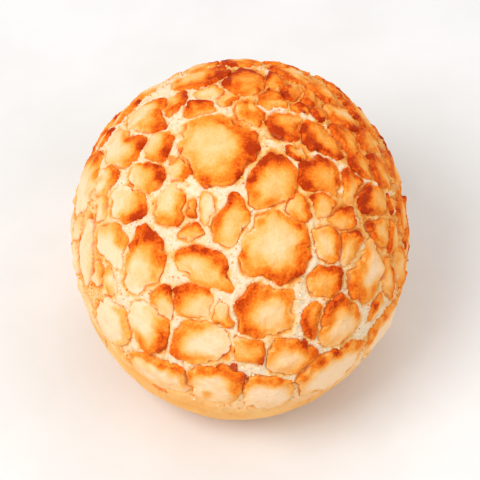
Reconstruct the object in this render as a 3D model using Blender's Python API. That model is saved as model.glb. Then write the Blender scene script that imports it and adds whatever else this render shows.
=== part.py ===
"""Tiger bread roll: one high, ball-like wheat roll under a crackled rice-paste crust.

Metres, +Z up.  The roll stands on its flat base at z = 0 and is centred on its bounding box.
It is one closed solid: the floor of the cracks is a smooth dome that runs down into a flat
base, and every plate of the crust is raised from it with a wall along its outline.
"""

import math
from collections import namedtuple

import bmesh
import bpy
import numpy as np
from mathutils import Vector
from mathutils.geometry import delaunay_2d_cdt

# Form of the roll over its crust, before the swellings.
ROLL_WIDTH = 0.100
ROLL_DEPTH = 0.114
CROWN_RISE = 0.0510  # from the widest level up to the crown
BASE_DROP = 0.0335  # from the widest level down to the flat base
UNDERSIDE_DROP = 0.0370  # where the underside would close if there were no flat base
UNDERSIDE_FULLNESS = 2.6  # 2 is an ellipse, more is squarer
# Hand-shaped unevenness.  For each swelling: its bearing from +X, its angle from the crown and
# its spread in degrees, and its height.
SWELLINGS = (
    (50, 62, 32, 0.0016),
    (150, 70, 30, 0.0008),
    (-48, 112, 30, -0.0018),
    (-120, 100, 34, -0.0008),
    (20, 20, 26, -0.0006),
)

# Crust.
PLATE_THICKNESS = 0.0012
PLATE_DOMING = 0.0007  # a plate's middle stands this much above its rim
CRUST_FULL_TO = 92  # degrees from the crown: full thickness down to here
CRUST_THIN_FROM = 110  # and only THIN_SHARE of it from here on
CRUST_LEAN = 10  # degrees by which both lie lower on the right and higher on the left
THIN_SHARE = 0.06
CRACK_RANGE = (0.0006, 0.0016)  # narrowest and widest crack between plates that touch
FRONT_GROWTH = 1.17  # how far a front plate spreads past its own ellipse where it has room
SCATTER_GROWTH = 1.35  # and one of the other sides
NEIGHBOUR_LIMIT = 0.035  # plates further apart than this don't meet
SMALLEST_HALF = 0.0008  # no crack comes nearer to a plate's middle than this
CORNER_SOFTNESS = 12  # higher gives the outline sharper corners
JAG_SHARE = 0.03  # raggedness of a rim, as a share of the plate's radius
WANDERS = ((0.0085, 0.00042), (0.0034, 0.00015))  # length and reach of the bends in the cracks
WANDER_SEED = 40
WAVES = 24  # sine waves that a smooth noise is made of

# The plates that face the front, in millimetres as they show from SIGHT_ELEVATION:
# across and up from the middle of the outline, width, height, and turn to the left in degrees.
SIGHT_ELEVATION = 50
SIGHT_DISTANCE = 0.72
SIGHT_MIDDLE_UP = 0.0012  # the outline's middle shows this far above the widest level's middle
FRONT_PLATES = (
    (-6.7, 27.0, 21.8, 24.8, 0),
    (-12.2, 38.8, 9.0, 5.0, 20),
    (3.0, 37.4, 8.7, 7.5, -30),
    (-27.0, 36.3, 12.2, 11.0, 25),
    (-34.4, 27.2, 12.0, 11.3, 40),
    (-23.9, 28.1, 7.0, 8.7, -15),
    (-28.3, 18.0, 13.0, 8.3, 12),
    (-33.0, 10.5, 11.7, 9.5, 0),
    (-20.0, 10.0, 10.4, 10.4, 0),
    (-13.7, 9.4, 3.9, 7.8, 10),
    (-2.6, 5.4, 9.6, 14.0, -10),
    (-14.4, 1.7, 10.5, 3.9, -12),
    (-29.1, -6.7, 11.3, 18.3, -12),
    (-10.9, -8.4, 20.4, 9.8, -38),
    (-13.7, -18.2, 10.9, 9.5, -30),
    (-22.6, -18.0, 7.0, 10.9, 12),
    (-27.0, -25.3, 10.9, 15.2, 5),
    (-37.6, -24.1, 10.9, 13.9, 5),
    (-11.5, -30.2, 16.0, 12.2, 3),
    (-5.2, -22.6, 4.8, 6.5, 0),
    (-23.9, -39.4, 20.0, 7.4, -24),
    (-7.4, -42.8, 15.7, 10.9, -8),
    (10.3, -2.1, 19.6, 22.2, 0),
    (7.2, -21.4, 16.5, 17.4, 0),
    (3.0, -31.8, 9.6, 8.0, -35),
    (25.4, -2.1, 7.0, 10.4, 0),
    (32.4, -2.2, 7.0, 11.7, -5),
    (25.5, -12.0, 10.9, 9.1, 0),
    (37.4, -8.9, 10.0, 19.0, -8),
    (29.1, -23.7, 13.0, 13.5, 0),
    (21.1, -24.6, 5.7, 14.4, 0),
    (14.5, -34.6, 12.2, 10.9, 0),
    (8.0, -45.3, 14.4, 9.1, 3),
    (27.0, -38.0, 22.6, 8.7, 32),
    (42.2, -25.0, 16.5, 6.1, 55),
    (9.8, 17.4, 14.4, 16.1, 0),
    (23.8, 18.7, 11.3, 12.6, -10),
    (24.8, 10.4, 6.1, 6.5, 0),
    (17.1, 10.2, 5.7, 8.7, 10),
    (32.8, 15.9, 6.1, 10.4, 0),
    (30.0, 6.2, 6.5, 8.2, 0),
    (23.9, 29.4, 16.5, 7.4, -38),
    (13.9, 33.7, 10.4, 8.7, -15),
    (3.0, 46.3, 14.5, 8.3, -5),
    (-12.4, 48.2, 15.2, 6.5, 10),
    (29.2, 36.8, 15.6, 7.6, -38),
    (37.8, 28.8, 11.6, 6.6, -58),
    (39.2, 10.8, 9.2, 9.6, 0),
    (40.6, 2.8, 7.6, 10.0, 0),
    (41.2, 20.8, 11.6, 5.8, -68),
    (8.4, 43.0, 9.4, 4.0, -10),
    (-17.8, 20.5, 4.8, 8.0, -20),
    (-37.6, -2.0, 9.0, 13.0, 0),
    (9.8, 46.4, 6.2, 5.6, -20),
    (15.4, 43.2, 9.6, 5.6, -54),
    (20.0, 41.6, 11.0, 5.0, -54),
    (24.8, 42.8, 12.4, 5.0, -46),
    (23.4, 37.4, 6.4, 4.2, -40),
    (31.4, 29.6, 12.6, 5.6, -45),
    (35.2, 36.8, 13.5, 4.4, -50),
    (35.4, 22.6, 9.4, 5.6, -50),
    (45.6, 20.2, 13.0, 3.6, -72),
    (47.3, 7.6, 12.0, 3.0, -88),
    (16.6, 48.2, 13.0, 4.4, -22),
    (-45.3, -3.0, 4.4, 24.0, 0),
    (-37.9, -12.3, 3.0, 9.5, -5),
    (-27.2, 43.9, 10.5, 3.0, 38),
    (9.2, 39.9, 11.0, 2.9, -6),
    (-13.5, 52.4, 12.0, 2.6, 12),
    (16.2, 39.2, 5.8, 3.0, -18),
    (-19.1, 48.8, 4.2, 5.0, 50),
    (-8.8, 43.3, 9.0, 3.4, 5),
    (-19.3, 40.0, 9.4, 4.0, 55),
    (43.5, -12.0, 3.4, 15.0, 8),
    (47.0, -8.5, 2.8, 12.0, 5),
    (44.8, 1.0, 3.6, 9.0, 0),
    (-10.5, 9.2, 5.0, 11.0, 0),
)

# The plates of the other sides follow a rule: large ones first, each clear of those before it.
SCATTER_SEED = 11
SCATTER_RADII = (0.0100, 0.0028)  # of the largest and the smallest
SCATTER_SIZES = 15
SCATTER_TRIES = (14, 1800)  # places tried for the largest size and for the smallest
SCATTER_LIMIT = 96  # degrees from the crown to the lowest middle
STRETCH_RANGE = (1.0, 1.5)  # a plate's length over its breadth
RIM_STRETCH = 0.35  # and this share more where the crust ends
RIM_BAND = (70, 90)  # degrees from the crown over which plates come to lie along the rim

# Mesh.
RIM_SPACING = 0.0026
RIM_POINTS = (9, 26)  # fewest and most points around a plate
INNER_RING = 0.58  # radius of a plate's inner ring, as a share of its outline
SIDE_ROWS = (112, 120, 129)  # degrees from the crown of the plain rows under the crust
SIDE_POINTS = 56
BASE_EDGE_LIMIT = 165  # the base's edge is nearer to the crown than this
HALVINGS = 40
MAP_EPSILON = 1e-7
CRUST_COLOUR = (0.90, 0.40, 0.11, 1.0)
CRUST_ROUGHNESS = 0.72

Plates = namedtuple("Plates", "centre normal along across growth")


def direction_of(bearing, from_crown):
    """Unit vectors at a bearing from +X and an angle from the crown, both in radians."""
    flat = np.sin(from_crown)
    return np.stack((flat * np.cos(bearing), flat * np.sin(bearing), np.cos(from_crown)), -1)


def dome(direction):
    """The crack floor in each direction from the middle of the widest level.

    Above that level it is an ellipsoid, and below it a squarer closed bowl; the swellings
    are smooth bumps on both.
    """
    x, y, z = np.moveaxis(direction, -1, 0)
    plan = np.hypot(x / (ROLL_WIDTH / 2 - PLATE_THICKNESS), y / (ROLL_DEPTH / 2 - PLATE_THICKNESS))
    above = np.hypot(plan, z / (CROWN_RISE - PLATE_THICKNESS))
    full = UNDERSIDE_FULLNESS
    below = (plan**full + (np.abs(z) / UNDERSIDE_DROP) ** full) ** (1 / full)
    radius = 1 / np.where(z > 0, above, below)
    for bearing, from_crown, spread, height in SWELLINGS:
        middle = direction_of(math.radians(bearing), math.radians(from_crown))
        away = np.degrees(np.arccos(np.clip(direction @ middle, -1, 1)))
        radius = radius + height * np.exp(-((away / spread) ** 2))
    return direction * radius[..., None]


def unit(vector):
    return vector / np.linalg.norm(vector, axis=-1, keepdims=True)


def grain(points, wavelength, seed):
    """Smooth noise of about unit size: sine waves of nearly one length in random directions."""
    rng = np.random.default_rng(seed)
    heading = unit(rng.normal(size=(WAVES, 3))) * rng.uniform(0.7, 1.4, (WAVES, 1))
    phase = rng.uniform(0, math.tau, WAVES)
    swing = np.sin(points @ heading.T * (math.tau / wavelength) + phase)
    return swing.sum(-1) * math.sqrt(2 / WAVES)


def dome_normal(direction):
    """Outward normals, from the cross product of two short steps along the dome."""
    step = 0.002
    east = unit(np.cross((0.0, 0.0, 1.0), direction) + (1e-9, 0.0, 0.0))
    north = np.cross(direction, east)
    here = dome(direction)
    eastward = dome(unit(direction + step * east)) - here
    northward = dome(unit(direction + step * north)) - here
    return unit(np.cross(eastward, northward))


def sight_frame():
    """Right, up and towards-the-eye vectors of the view that FRONT_PLATES is given in."""
    tilt = math.radians(SIGHT_ELEVATION)
    right = np.array((1.0, 0.0, 0.0))
    up = np.array((0.0, math.sin(tilt), math.cos(tilt)))
    return right, up, np.array((0.0, -math.cos(tilt), math.sin(tilt)))


def seen_place(across, up_seen):
    """Where the line of sight through a seen place first meets the dome, as a direction."""
    right, up, towards = sight_frame()
    eye = towards * SIGHT_DISTANCE
    target = right * across + up * (up_seen + SIGHT_MIDDLE_UP)
    share = np.linspace(0.90, 1.02, 1201)
    path = eye + share[:, None] * (target - eye)
    outside = np.linalg.norm(path, axis=1) - np.linalg.norm(dome(unit(path)), axis=1)
    inside = np.flatnonzero(outside < 0)
    first = inside[0] if len(inside) else int(np.argmin(outside))
    return unit(path[first])


def front_plate(across, up_seen, width, height, turn):
    """A plate from its size and place as seen; its axes are un-foreshortened onto the dome."""
    right, up, towards = sight_frame()
    direction = seen_place(across / 1000, up_seen / 1000)
    centre = dome(direction)
    normal = dome_normal(direction)
    nearer = 1 - centre @ towards / SIGHT_DISTANCE
    angle = math.radians(turn)
    along = (math.cos(angle) * right + math.sin(angle) * up) / (width / 2000 * nearer)
    across = (math.cos(angle) * up - math.sin(angle) * right) / (height / 2000 * nearer)
    along = along - (along @ normal) * normal
    across = across - (across @ normal) * normal
    return Plates(centre, normal, along, across, FRONT_GROWTH)


def scattered_plate(direction, radius, stretch, turn):
    """A plate of a given mean radius, stretched and turned in the plane that touches the dome."""
    normal = dome_normal(direction)
    level = unit(np.cross((0.0, 0.0, 1.0), normal))
    rising = np.cross(normal, level)
    longer = math.sqrt(stretch)
    along = (math.cos(turn) * level + math.sin(turn) * rising) / (radius * longer)
    across = (math.cos(turn) * rising - math.sin(turn) * level) * longer / radius
    return Plates(dome(direction), normal, along, across, SCATTER_GROWTH)


def reach(along, across, ray):
    """Distance from a plate's middle to its ellipse along unit vectors in its plane."""
    return 1 / np.hypot((ray * along).sum(-1), (ray * across).sum(-1))


def neighbours(plate, plates):
    """Distance to every plate's middle, the way there, and the reach of both towards each other."""
    gap = plates.centre - plate.centre
    apart = np.linalg.norm(gap, axis=1) + 1e-9
    towards = unit(gap - (gap @ plate.normal)[:, None] * plate.normal + 1e-9)
    back = unit((gap * plates.normal).sum(1)[:, None] * plates.normal - gap + 1e-9)
    own = reach(plate.along, plate.across, towards)
    theirs = reach(plates.along, plates.across, back)
    return apart, towards, own, theirs


def stack(rows):
    return Plates(*(np.array(column) for column in zip(*rows)))


def lay_plates():
    """The front plates as listed, then the seeded rule for the rest of the dome."""
    rows = [front_plate(*row) for row in FRONT_PLATES]
    plates = stack(rows)
    rng = np.random.default_rng(SCATTER_SEED)
    lowest = math.cos(math.radians(SCATTER_LIMIT))
    radii = np.geomspace(*SCATTER_RADII, SCATTER_SIZES)
    for radius, tries in zip(radii, np.geomspace(*SCATTER_TRIES, SCATTER_SIZES).astype(int)):
        from_crown = np.arccos(rng.uniform(lowest, 1, tries))
        directions = direction_of(rng.uniform(-math.pi, math.pi, tries), from_crown)
        # Low on the side the rising dough pulls the plates out along the rim.
        low = np.clip((np.degrees(from_crown) - RIM_BAND[0]) / (RIM_BAND[1] - RIM_BAND[0]), 0, 1)
        stretch = rng.uniform(*STRETCH_RANGE, tries) * (1 + RIM_STRETCH * low)
        turn = rng.uniform(-math.pi / 2, math.pi / 2, tries) * (1 - low)
        places = dome(directions)
        for row in range(tries):
            if np.linalg.norm(plates.centre - places[row], axis=1).min() < radius:
                continue
            plate = scattered_plate(directions[row], radius, stretch[row], turn[row])
            apart, _, own, theirs = neighbours(plate, plates)
            if np.all(apart > own + theirs + CRACK_RANGE[0]):
                rows.append(plate)
                plates = stack(rows)
    return plates


def outline_radius(plates, index, cracks, angles):
    """Radius of a plate's outline at angles in its plane, and the way to each point.

    A soft minimum of its own grown ellipse and of the cracks that it shares with its
    neighbours, each of which divides the distance between two middles by their sizes.
    """
    plate = Plates(*(column[index] for column in plates))
    first = unit(plate.along)
    second = np.cross(plate.normal, first)
    ray = np.cos(angles)[:, None] * first + np.sin(angles)[:, None] * second
    own_reach = plate.growth * reach(plate.along, plate.across, ray)
    apart, towards, own, theirs = neighbours(plate, plates)
    wall = np.maximum(apart * own / (own + theirs) - cracks / 2, SMALLEST_HALF)
    near = (apart > 1e-6) & (apart < NEIGHBOUR_LIMIT)
    facing = np.maximum(ray @ towards[near].T, 0) / wall[near]
    squeeze = (1 / own_reach) ** CORNER_SOFTNESS + (facing**CORNER_SOFTNESS).sum(1)
    return squeeze ** (-1 / CORNER_SOFTNESS), ray


def ragged(rng, angles):
    """A ragged rim: waves of rising number around the plate, with seeded phases."""
    waves = sum(np.sin(count * angles + rng.uniform(0, 7)) for count in (3, 5, 8))
    return 1 + JAG_SHARE * waves / math.sqrt(3)


def wandered(points):
    """Directions of points pushed by smooth noise, alike on both sides of a crack, which bends it."""
    straight = dome(unit(points))
    push = np.zeros(straight.shape)
    for number, (length, reach_out) in enumerate(WANDERS):
        seeds = WANDER_SEED + 3 * number + np.arange(3)
        push += reach_out * np.stack([grain(straight, length, seed) for seed in seeds], -1)
    return unit(straight + push)


def crust_share(direction):
    """1 where the crust has its full thickness, falling smoothly to THIN_SHARE low on the side."""
    from_crown = np.degrees(np.arccos(np.clip(direction[..., 2], -1, 1)))
    lean = CRUST_LEAN * np.cos(np.arctan2(direction[..., 1], direction[..., 0]))
    above = (CRUST_THIN_FROM + lean - from_crown) / (CRUST_THIN_FROM - CRUST_FULL_TO)
    share = np.clip(above, 0, 1)
    return THIN_SHARE + (1 - THIN_SHARE) * share * share * (3 - 2 * share)


def plate_rings(plates):
    """For each plate the directions of its outline, of its inner ring and of its middle."""
    rng = np.random.default_rng(SCATTER_SEED + 1)
    count = len(plates.centre)
    widths = rng.uniform(*CRACK_RANGE, (count, count))
    cracks = (widths + widths.T) / 2
    rings = []
    for index, centre in enumerate(plates.centre):
        rough = outline_radius(plates, index, cracks[index], np.linspace(0, math.tau, 24))[0]
        points = int(np.clip(math.tau * rough.mean() / RIM_SPACING, *RIM_POINTS))
        angles = np.linspace(0, math.tau, points, endpoint=False)
        radius, ray = outline_radius(plates, index, cracks[index], angles)
        rim = centre + (radius * ragged(rng, angles))[:, None] * ray
        inner = centre + (radius * INNER_RING)[::2, None] * ray[::2]
        rings.append((wandered(rim), wandered(inner), wandered(centre)))
    return rings


def flat_map(direction):
    """Map of the dome with the crown in the middle: distance is the angle from the crown."""
    from_crown = np.arccos(np.clip(direction[..., 2], -1, 1))
    bearing = np.arctan2(direction[..., 1], direction[..., 0])
    return np.stack((from_crown * np.cos(bearing), from_crown * np.sin(bearing)), -1)


def base_edge():
    """Directions in which the underside meets the flat base, found by halving."""
    bearing = np.linspace(0, math.tau, SIDE_POINTS, endpoint=False)
    high = np.full(SIDE_POINTS, math.radians(SIDE_ROWS[-1]))
    low = np.full(SIDE_POINTS, math.radians(BASE_EDGE_LIMIT))
    for _ in range(HALVINGS):
        middle = (high + low) / 2
        above = dome(direction_of(bearing, middle))[:, 2] > -BASE_DROP
        high = np.where(above, middle, high)
        low = np.where(above, low, middle)
    return direction_of(bearing, high)


def crust_points():
    """Directions of all points of the plates, how far each is raised, and the outlines."""
    directions, heights, outlines = [], [], []
    inner_height = PLATE_THICKNESS + PLATE_DOMING * (1 - INNER_RING**2)
    for rim, inner, middle in plate_rings(lay_plates()):
        outlines.append(list(range(len(directions), len(directions) + len(rim))))
        directions += [*rim, *inner, middle]
        heights += [PLATE_THICKNESS] * len(rim) + [inner_height] * len(inner)
        heights.append(PLATE_THICKNESS + PLATE_DOMING)
    return directions, heights, outlines


def side_points():
    """Directions of the plain rows under the crust, down to the edge of the flat base."""
    bearing = np.linspace(0, math.tau, SIDE_POINTS, endpoint=False)
    rows = [direction_of(bearing, np.full(SIDE_POINTS, math.radians(row))) for row in SIDE_ROWS]
    return [*np.concatenate(rows), *base_edge()]


def triangulate(directions, outlines):
    """Triangles of the unrolled map, in the order of the points; True where one is crust."""
    flat = [Vector(place) for place in flat_map(directions)]
    _, _, faces, sources, _, plate_of = delaunay_2d_cdt(flat, [], outlines, 0, MAP_EPSILON, True)
    if any(len(source) != 1 for source in sources):
        raise ValueError("two outlines cross")
    corners = np.array([source[0] for source in sources])[np.array(faces)]
    return corners.tolist(), [bool(plates) for plates in plate_of]


def raise_plates(mesh, crust, layer):
    """Extrude the crust's triangles along the lift of their points, with walls around."""
    raised = bmesh.ops.extrude_face_region(mesh, geom=crust)["geom"]
    bmesh.ops.delete(mesh, geom=crust, context="FACES")
    for vert in raised:
        if isinstance(vert, bmesh.types.BMVert):
            vert.co += vert[layer]


def roll_mesh():
    """The crack floor, the raised plates and the flat base as one closed mesh."""
    directions, heights, outlines = crust_points()
    sides = side_points()
    directions = np.array(directions + sides)
    heights = np.array(heights + [0.0] * len(sides))
    points = dome(directions)
    points[-SIDE_POINTS:, 2] = -BASE_DROP
    lift = dome_normal(directions) * (heights * crust_share(directions))[:, None]
    mesh = bmesh.new()
    layer = mesh.verts.layers.float_vector.new("lift")
    verts = [mesh.verts.new(point) for point in points]
    for vert, offset in zip(verts, lift):
        vert[layer] = offset
    crust = []
    for corners, is_crust in zip(*triangulate(directions, outlines)):
        face = mesh.faces.new([verts[corner] for corner in corners])
        if is_crust:
            crust.append(face)
    raise_plates(mesh, crust, layer)
    base = bmesh.ops.contextual_create(mesh, geom=[e for e in mesh.edges if e.is_boundary])
    bmesh.ops.triangulate(mesh, faces=base["faces"])
    bmesh.ops.recalc_face_normals(mesh, faces=mesh.faces)
    return mesh


def crust_material():
    material = bpy.data.materials.new("tiger_crust")
    material.use_nodes = True
    shader = material.node_tree.nodes["Principled BSDF"]
    shader.inputs["Base Color"].default_value = CRUST_COLOUR
    shader.inputs["Roughness"].default_value = CRUST_ROUGHNESS
    shader.inputs["Metallic"].default_value = 0.0
    material.diffuse_color = CRUST_COLOUR
    return material


def centre_on_base(mesh):
    """Move the mesh so that its bounding box is centred over the origin and stands on z = 0."""
    places = np.array([vert.co for vert in mesh.verts])
    low, high = places.min(axis=0), places.max(axis=0)
    shift = Vector((-(low[0] + high[0]) / 2, -(low[1] + high[1]) / 2, -low[2]))
    bmesh.ops.translate(mesh, verts=mesh.verts, vec=shift)


def build():
    for old in list(bpy.data.objects):
        bpy.data.objects.remove(old, do_unlink=True)
    collection = bpy.data.collections.new("tiger_bread_roll")
    bpy.context.scene.collection.children.link(collection)
    mesh = roll_mesh()
    centre_on_base(mesh)
    data = bpy.data.meshes.new("tiger_roll")
    mesh.to_mesh(data)
    mesh.free()
    data.materials.append(crust_material())
    roll = bpy.data.objects.new("tiger_roll", data)
    collection.objects.link(roll)


build()
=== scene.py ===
"""Tiger bread roll: the finished looks of one high, ball-like roll under a crackled crust.

Metres, +Z up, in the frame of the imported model.  The front that the photograph shows faces -Y.
"""

import itertools
import math
from collections import namedtuple

import bpy
import numpy as np
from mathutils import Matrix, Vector


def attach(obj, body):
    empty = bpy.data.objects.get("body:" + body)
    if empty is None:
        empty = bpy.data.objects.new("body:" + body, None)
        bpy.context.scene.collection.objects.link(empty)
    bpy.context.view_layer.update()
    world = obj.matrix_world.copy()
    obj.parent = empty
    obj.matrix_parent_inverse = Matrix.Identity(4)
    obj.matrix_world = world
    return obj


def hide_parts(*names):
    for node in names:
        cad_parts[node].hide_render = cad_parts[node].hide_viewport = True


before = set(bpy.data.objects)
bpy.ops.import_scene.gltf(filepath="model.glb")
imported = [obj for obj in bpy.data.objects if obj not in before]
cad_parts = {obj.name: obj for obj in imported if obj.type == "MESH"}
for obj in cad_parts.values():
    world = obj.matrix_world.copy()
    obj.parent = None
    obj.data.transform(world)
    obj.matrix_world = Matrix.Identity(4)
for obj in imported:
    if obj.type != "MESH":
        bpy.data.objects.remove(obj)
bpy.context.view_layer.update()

# ------------------------------------------------
# Crack floor: the white wheat dough that shows wherever the rice paste has torn.  It is one
# smooth dome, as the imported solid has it, with a crumbly skin that swells up in the wide cracks.
# ------------------------------------------------

ROLL_WIDTH = 0.100
ROLL_DEPTH = 0.114
CROWN_RISE = 0.0510  # from the widest level up to the crown
BASE_DROP = 0.0335  # from the widest level down to the flat base
UNDERSIDE_DROP = 0.0370
UNDERSIDE_FULLNESS = 2.6
# Bearing from +X, angle from the crown and spread in degrees, and height.
SWELLINGS = (
    (50, 62, 32, 0.0016),
    (150, 70, 30, 0.0008),
    (-48, 112, 30, -0.0018),
    (-120, 100, 34, -0.0008),
    (20, 20, 26, -0.0006),
)
PLATE_THICKNESS = 0.0012
PLATE_DOMING = 0.0007
GRAIN_WAVES = 24
GRAIN_SPREAD = (0.7, 1.4)  # of their wave numbers
NORMAL_STEP = 0.002
TINY = 1e-9  # keeps lengths off 0

Plates = namedtuple("Plates", "centre normal along across growth")
Looks = namedtuple("Looks", "browned_side browning")


def unit(vector):
    """A vector divided by its length."""
    return vector / np.linalg.norm(vector, axis=-1, keepdims=True)


def ease(low, high, value):
    """0 below low and 1 above high, with a smooth S between them."""
    share = np.clip((value - low) / (high - low), 0, 1)
    return share * share * (3 - 2 * share)


def around(count):
    """Angles at even steps once around, from 0."""
    return np.linspace(0, math.tau, count, endpoint=False)


def direction_of(bearing, from_crown):
    """Unit vectors at a bearing from +X and an angle from the crown, both in radians."""
    flat = np.sin(from_crown)
    return np.stack((flat * np.cos(bearing), flat * np.sin(bearing), np.cos(from_crown)), -1)


def crown_angle(direction):
    """Angle from the crown in degrees."""
    return np.degrees(np.arccos(np.clip(direction[..., 2], -1, 1)))


def dome(direction):
    """The crack floor from the middle of the widest level.

    An ellipsoid above that level and a squarer closed bowl below it, with smooth bumps on both.
    """
    x, y, z = np.moveaxis(direction, -1, 0)
    plan = np.hypot(x / (ROLL_WIDTH / 2 - PLATE_THICKNESS), y / (ROLL_DEPTH / 2 - PLATE_THICKNESS))
    above = np.hypot(plan, z / (CROWN_RISE - PLATE_THICKNESS))
    full = UNDERSIDE_FULLNESS
    below = (plan**full + (np.abs(z) / UNDERSIDE_DROP) ** full) ** (1 / full)
    radius = 1 / np.where(z > 0, above, below)
    for bearing, from_crown, spread, height in SWELLINGS:
        middle = direction_of(math.radians(bearing), math.radians(from_crown))
        away = np.degrees(np.arccos(np.clip(direction @ middle, -1, 1)))
        radius = radius + height * np.exp(-((away / spread) ** 2))
    return direction * radius[..., None]


def grain(points, wavelength, seed):
    """Smooth noise of about unit size: sine waves of nearly one length in random directions."""
    rng = np.random.default_rng(seed)
    heading = unit(rng.normal(size=(GRAIN_WAVES, 3)))
    heading = heading * rng.uniform(*GRAIN_SPREAD, (GRAIN_WAVES, 1))
    phase = rng.uniform(0, math.tau, GRAIN_WAVES)
    swing = np.sin(points @ heading.T * (math.tau / wavelength) + phase)
    return swing.sum(-1) * math.sqrt(2 / GRAIN_WAVES)


def dome_normal(direction):
    """Outward normals, from the cross product of two short steps along the dome."""
    east = unit(np.cross((0.0, 0.0, 1.0), direction) + (TINY, 0.0, 0.0))
    north = np.cross(direction, east)
    here = dome(direction)
    eastward = dome(unit(direction + NORMAL_STEP * east)) - here
    northward = dome(unit(direction + NORMAL_STEP * north)) - here
    return unit(np.cross(eastward, northward))


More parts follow.
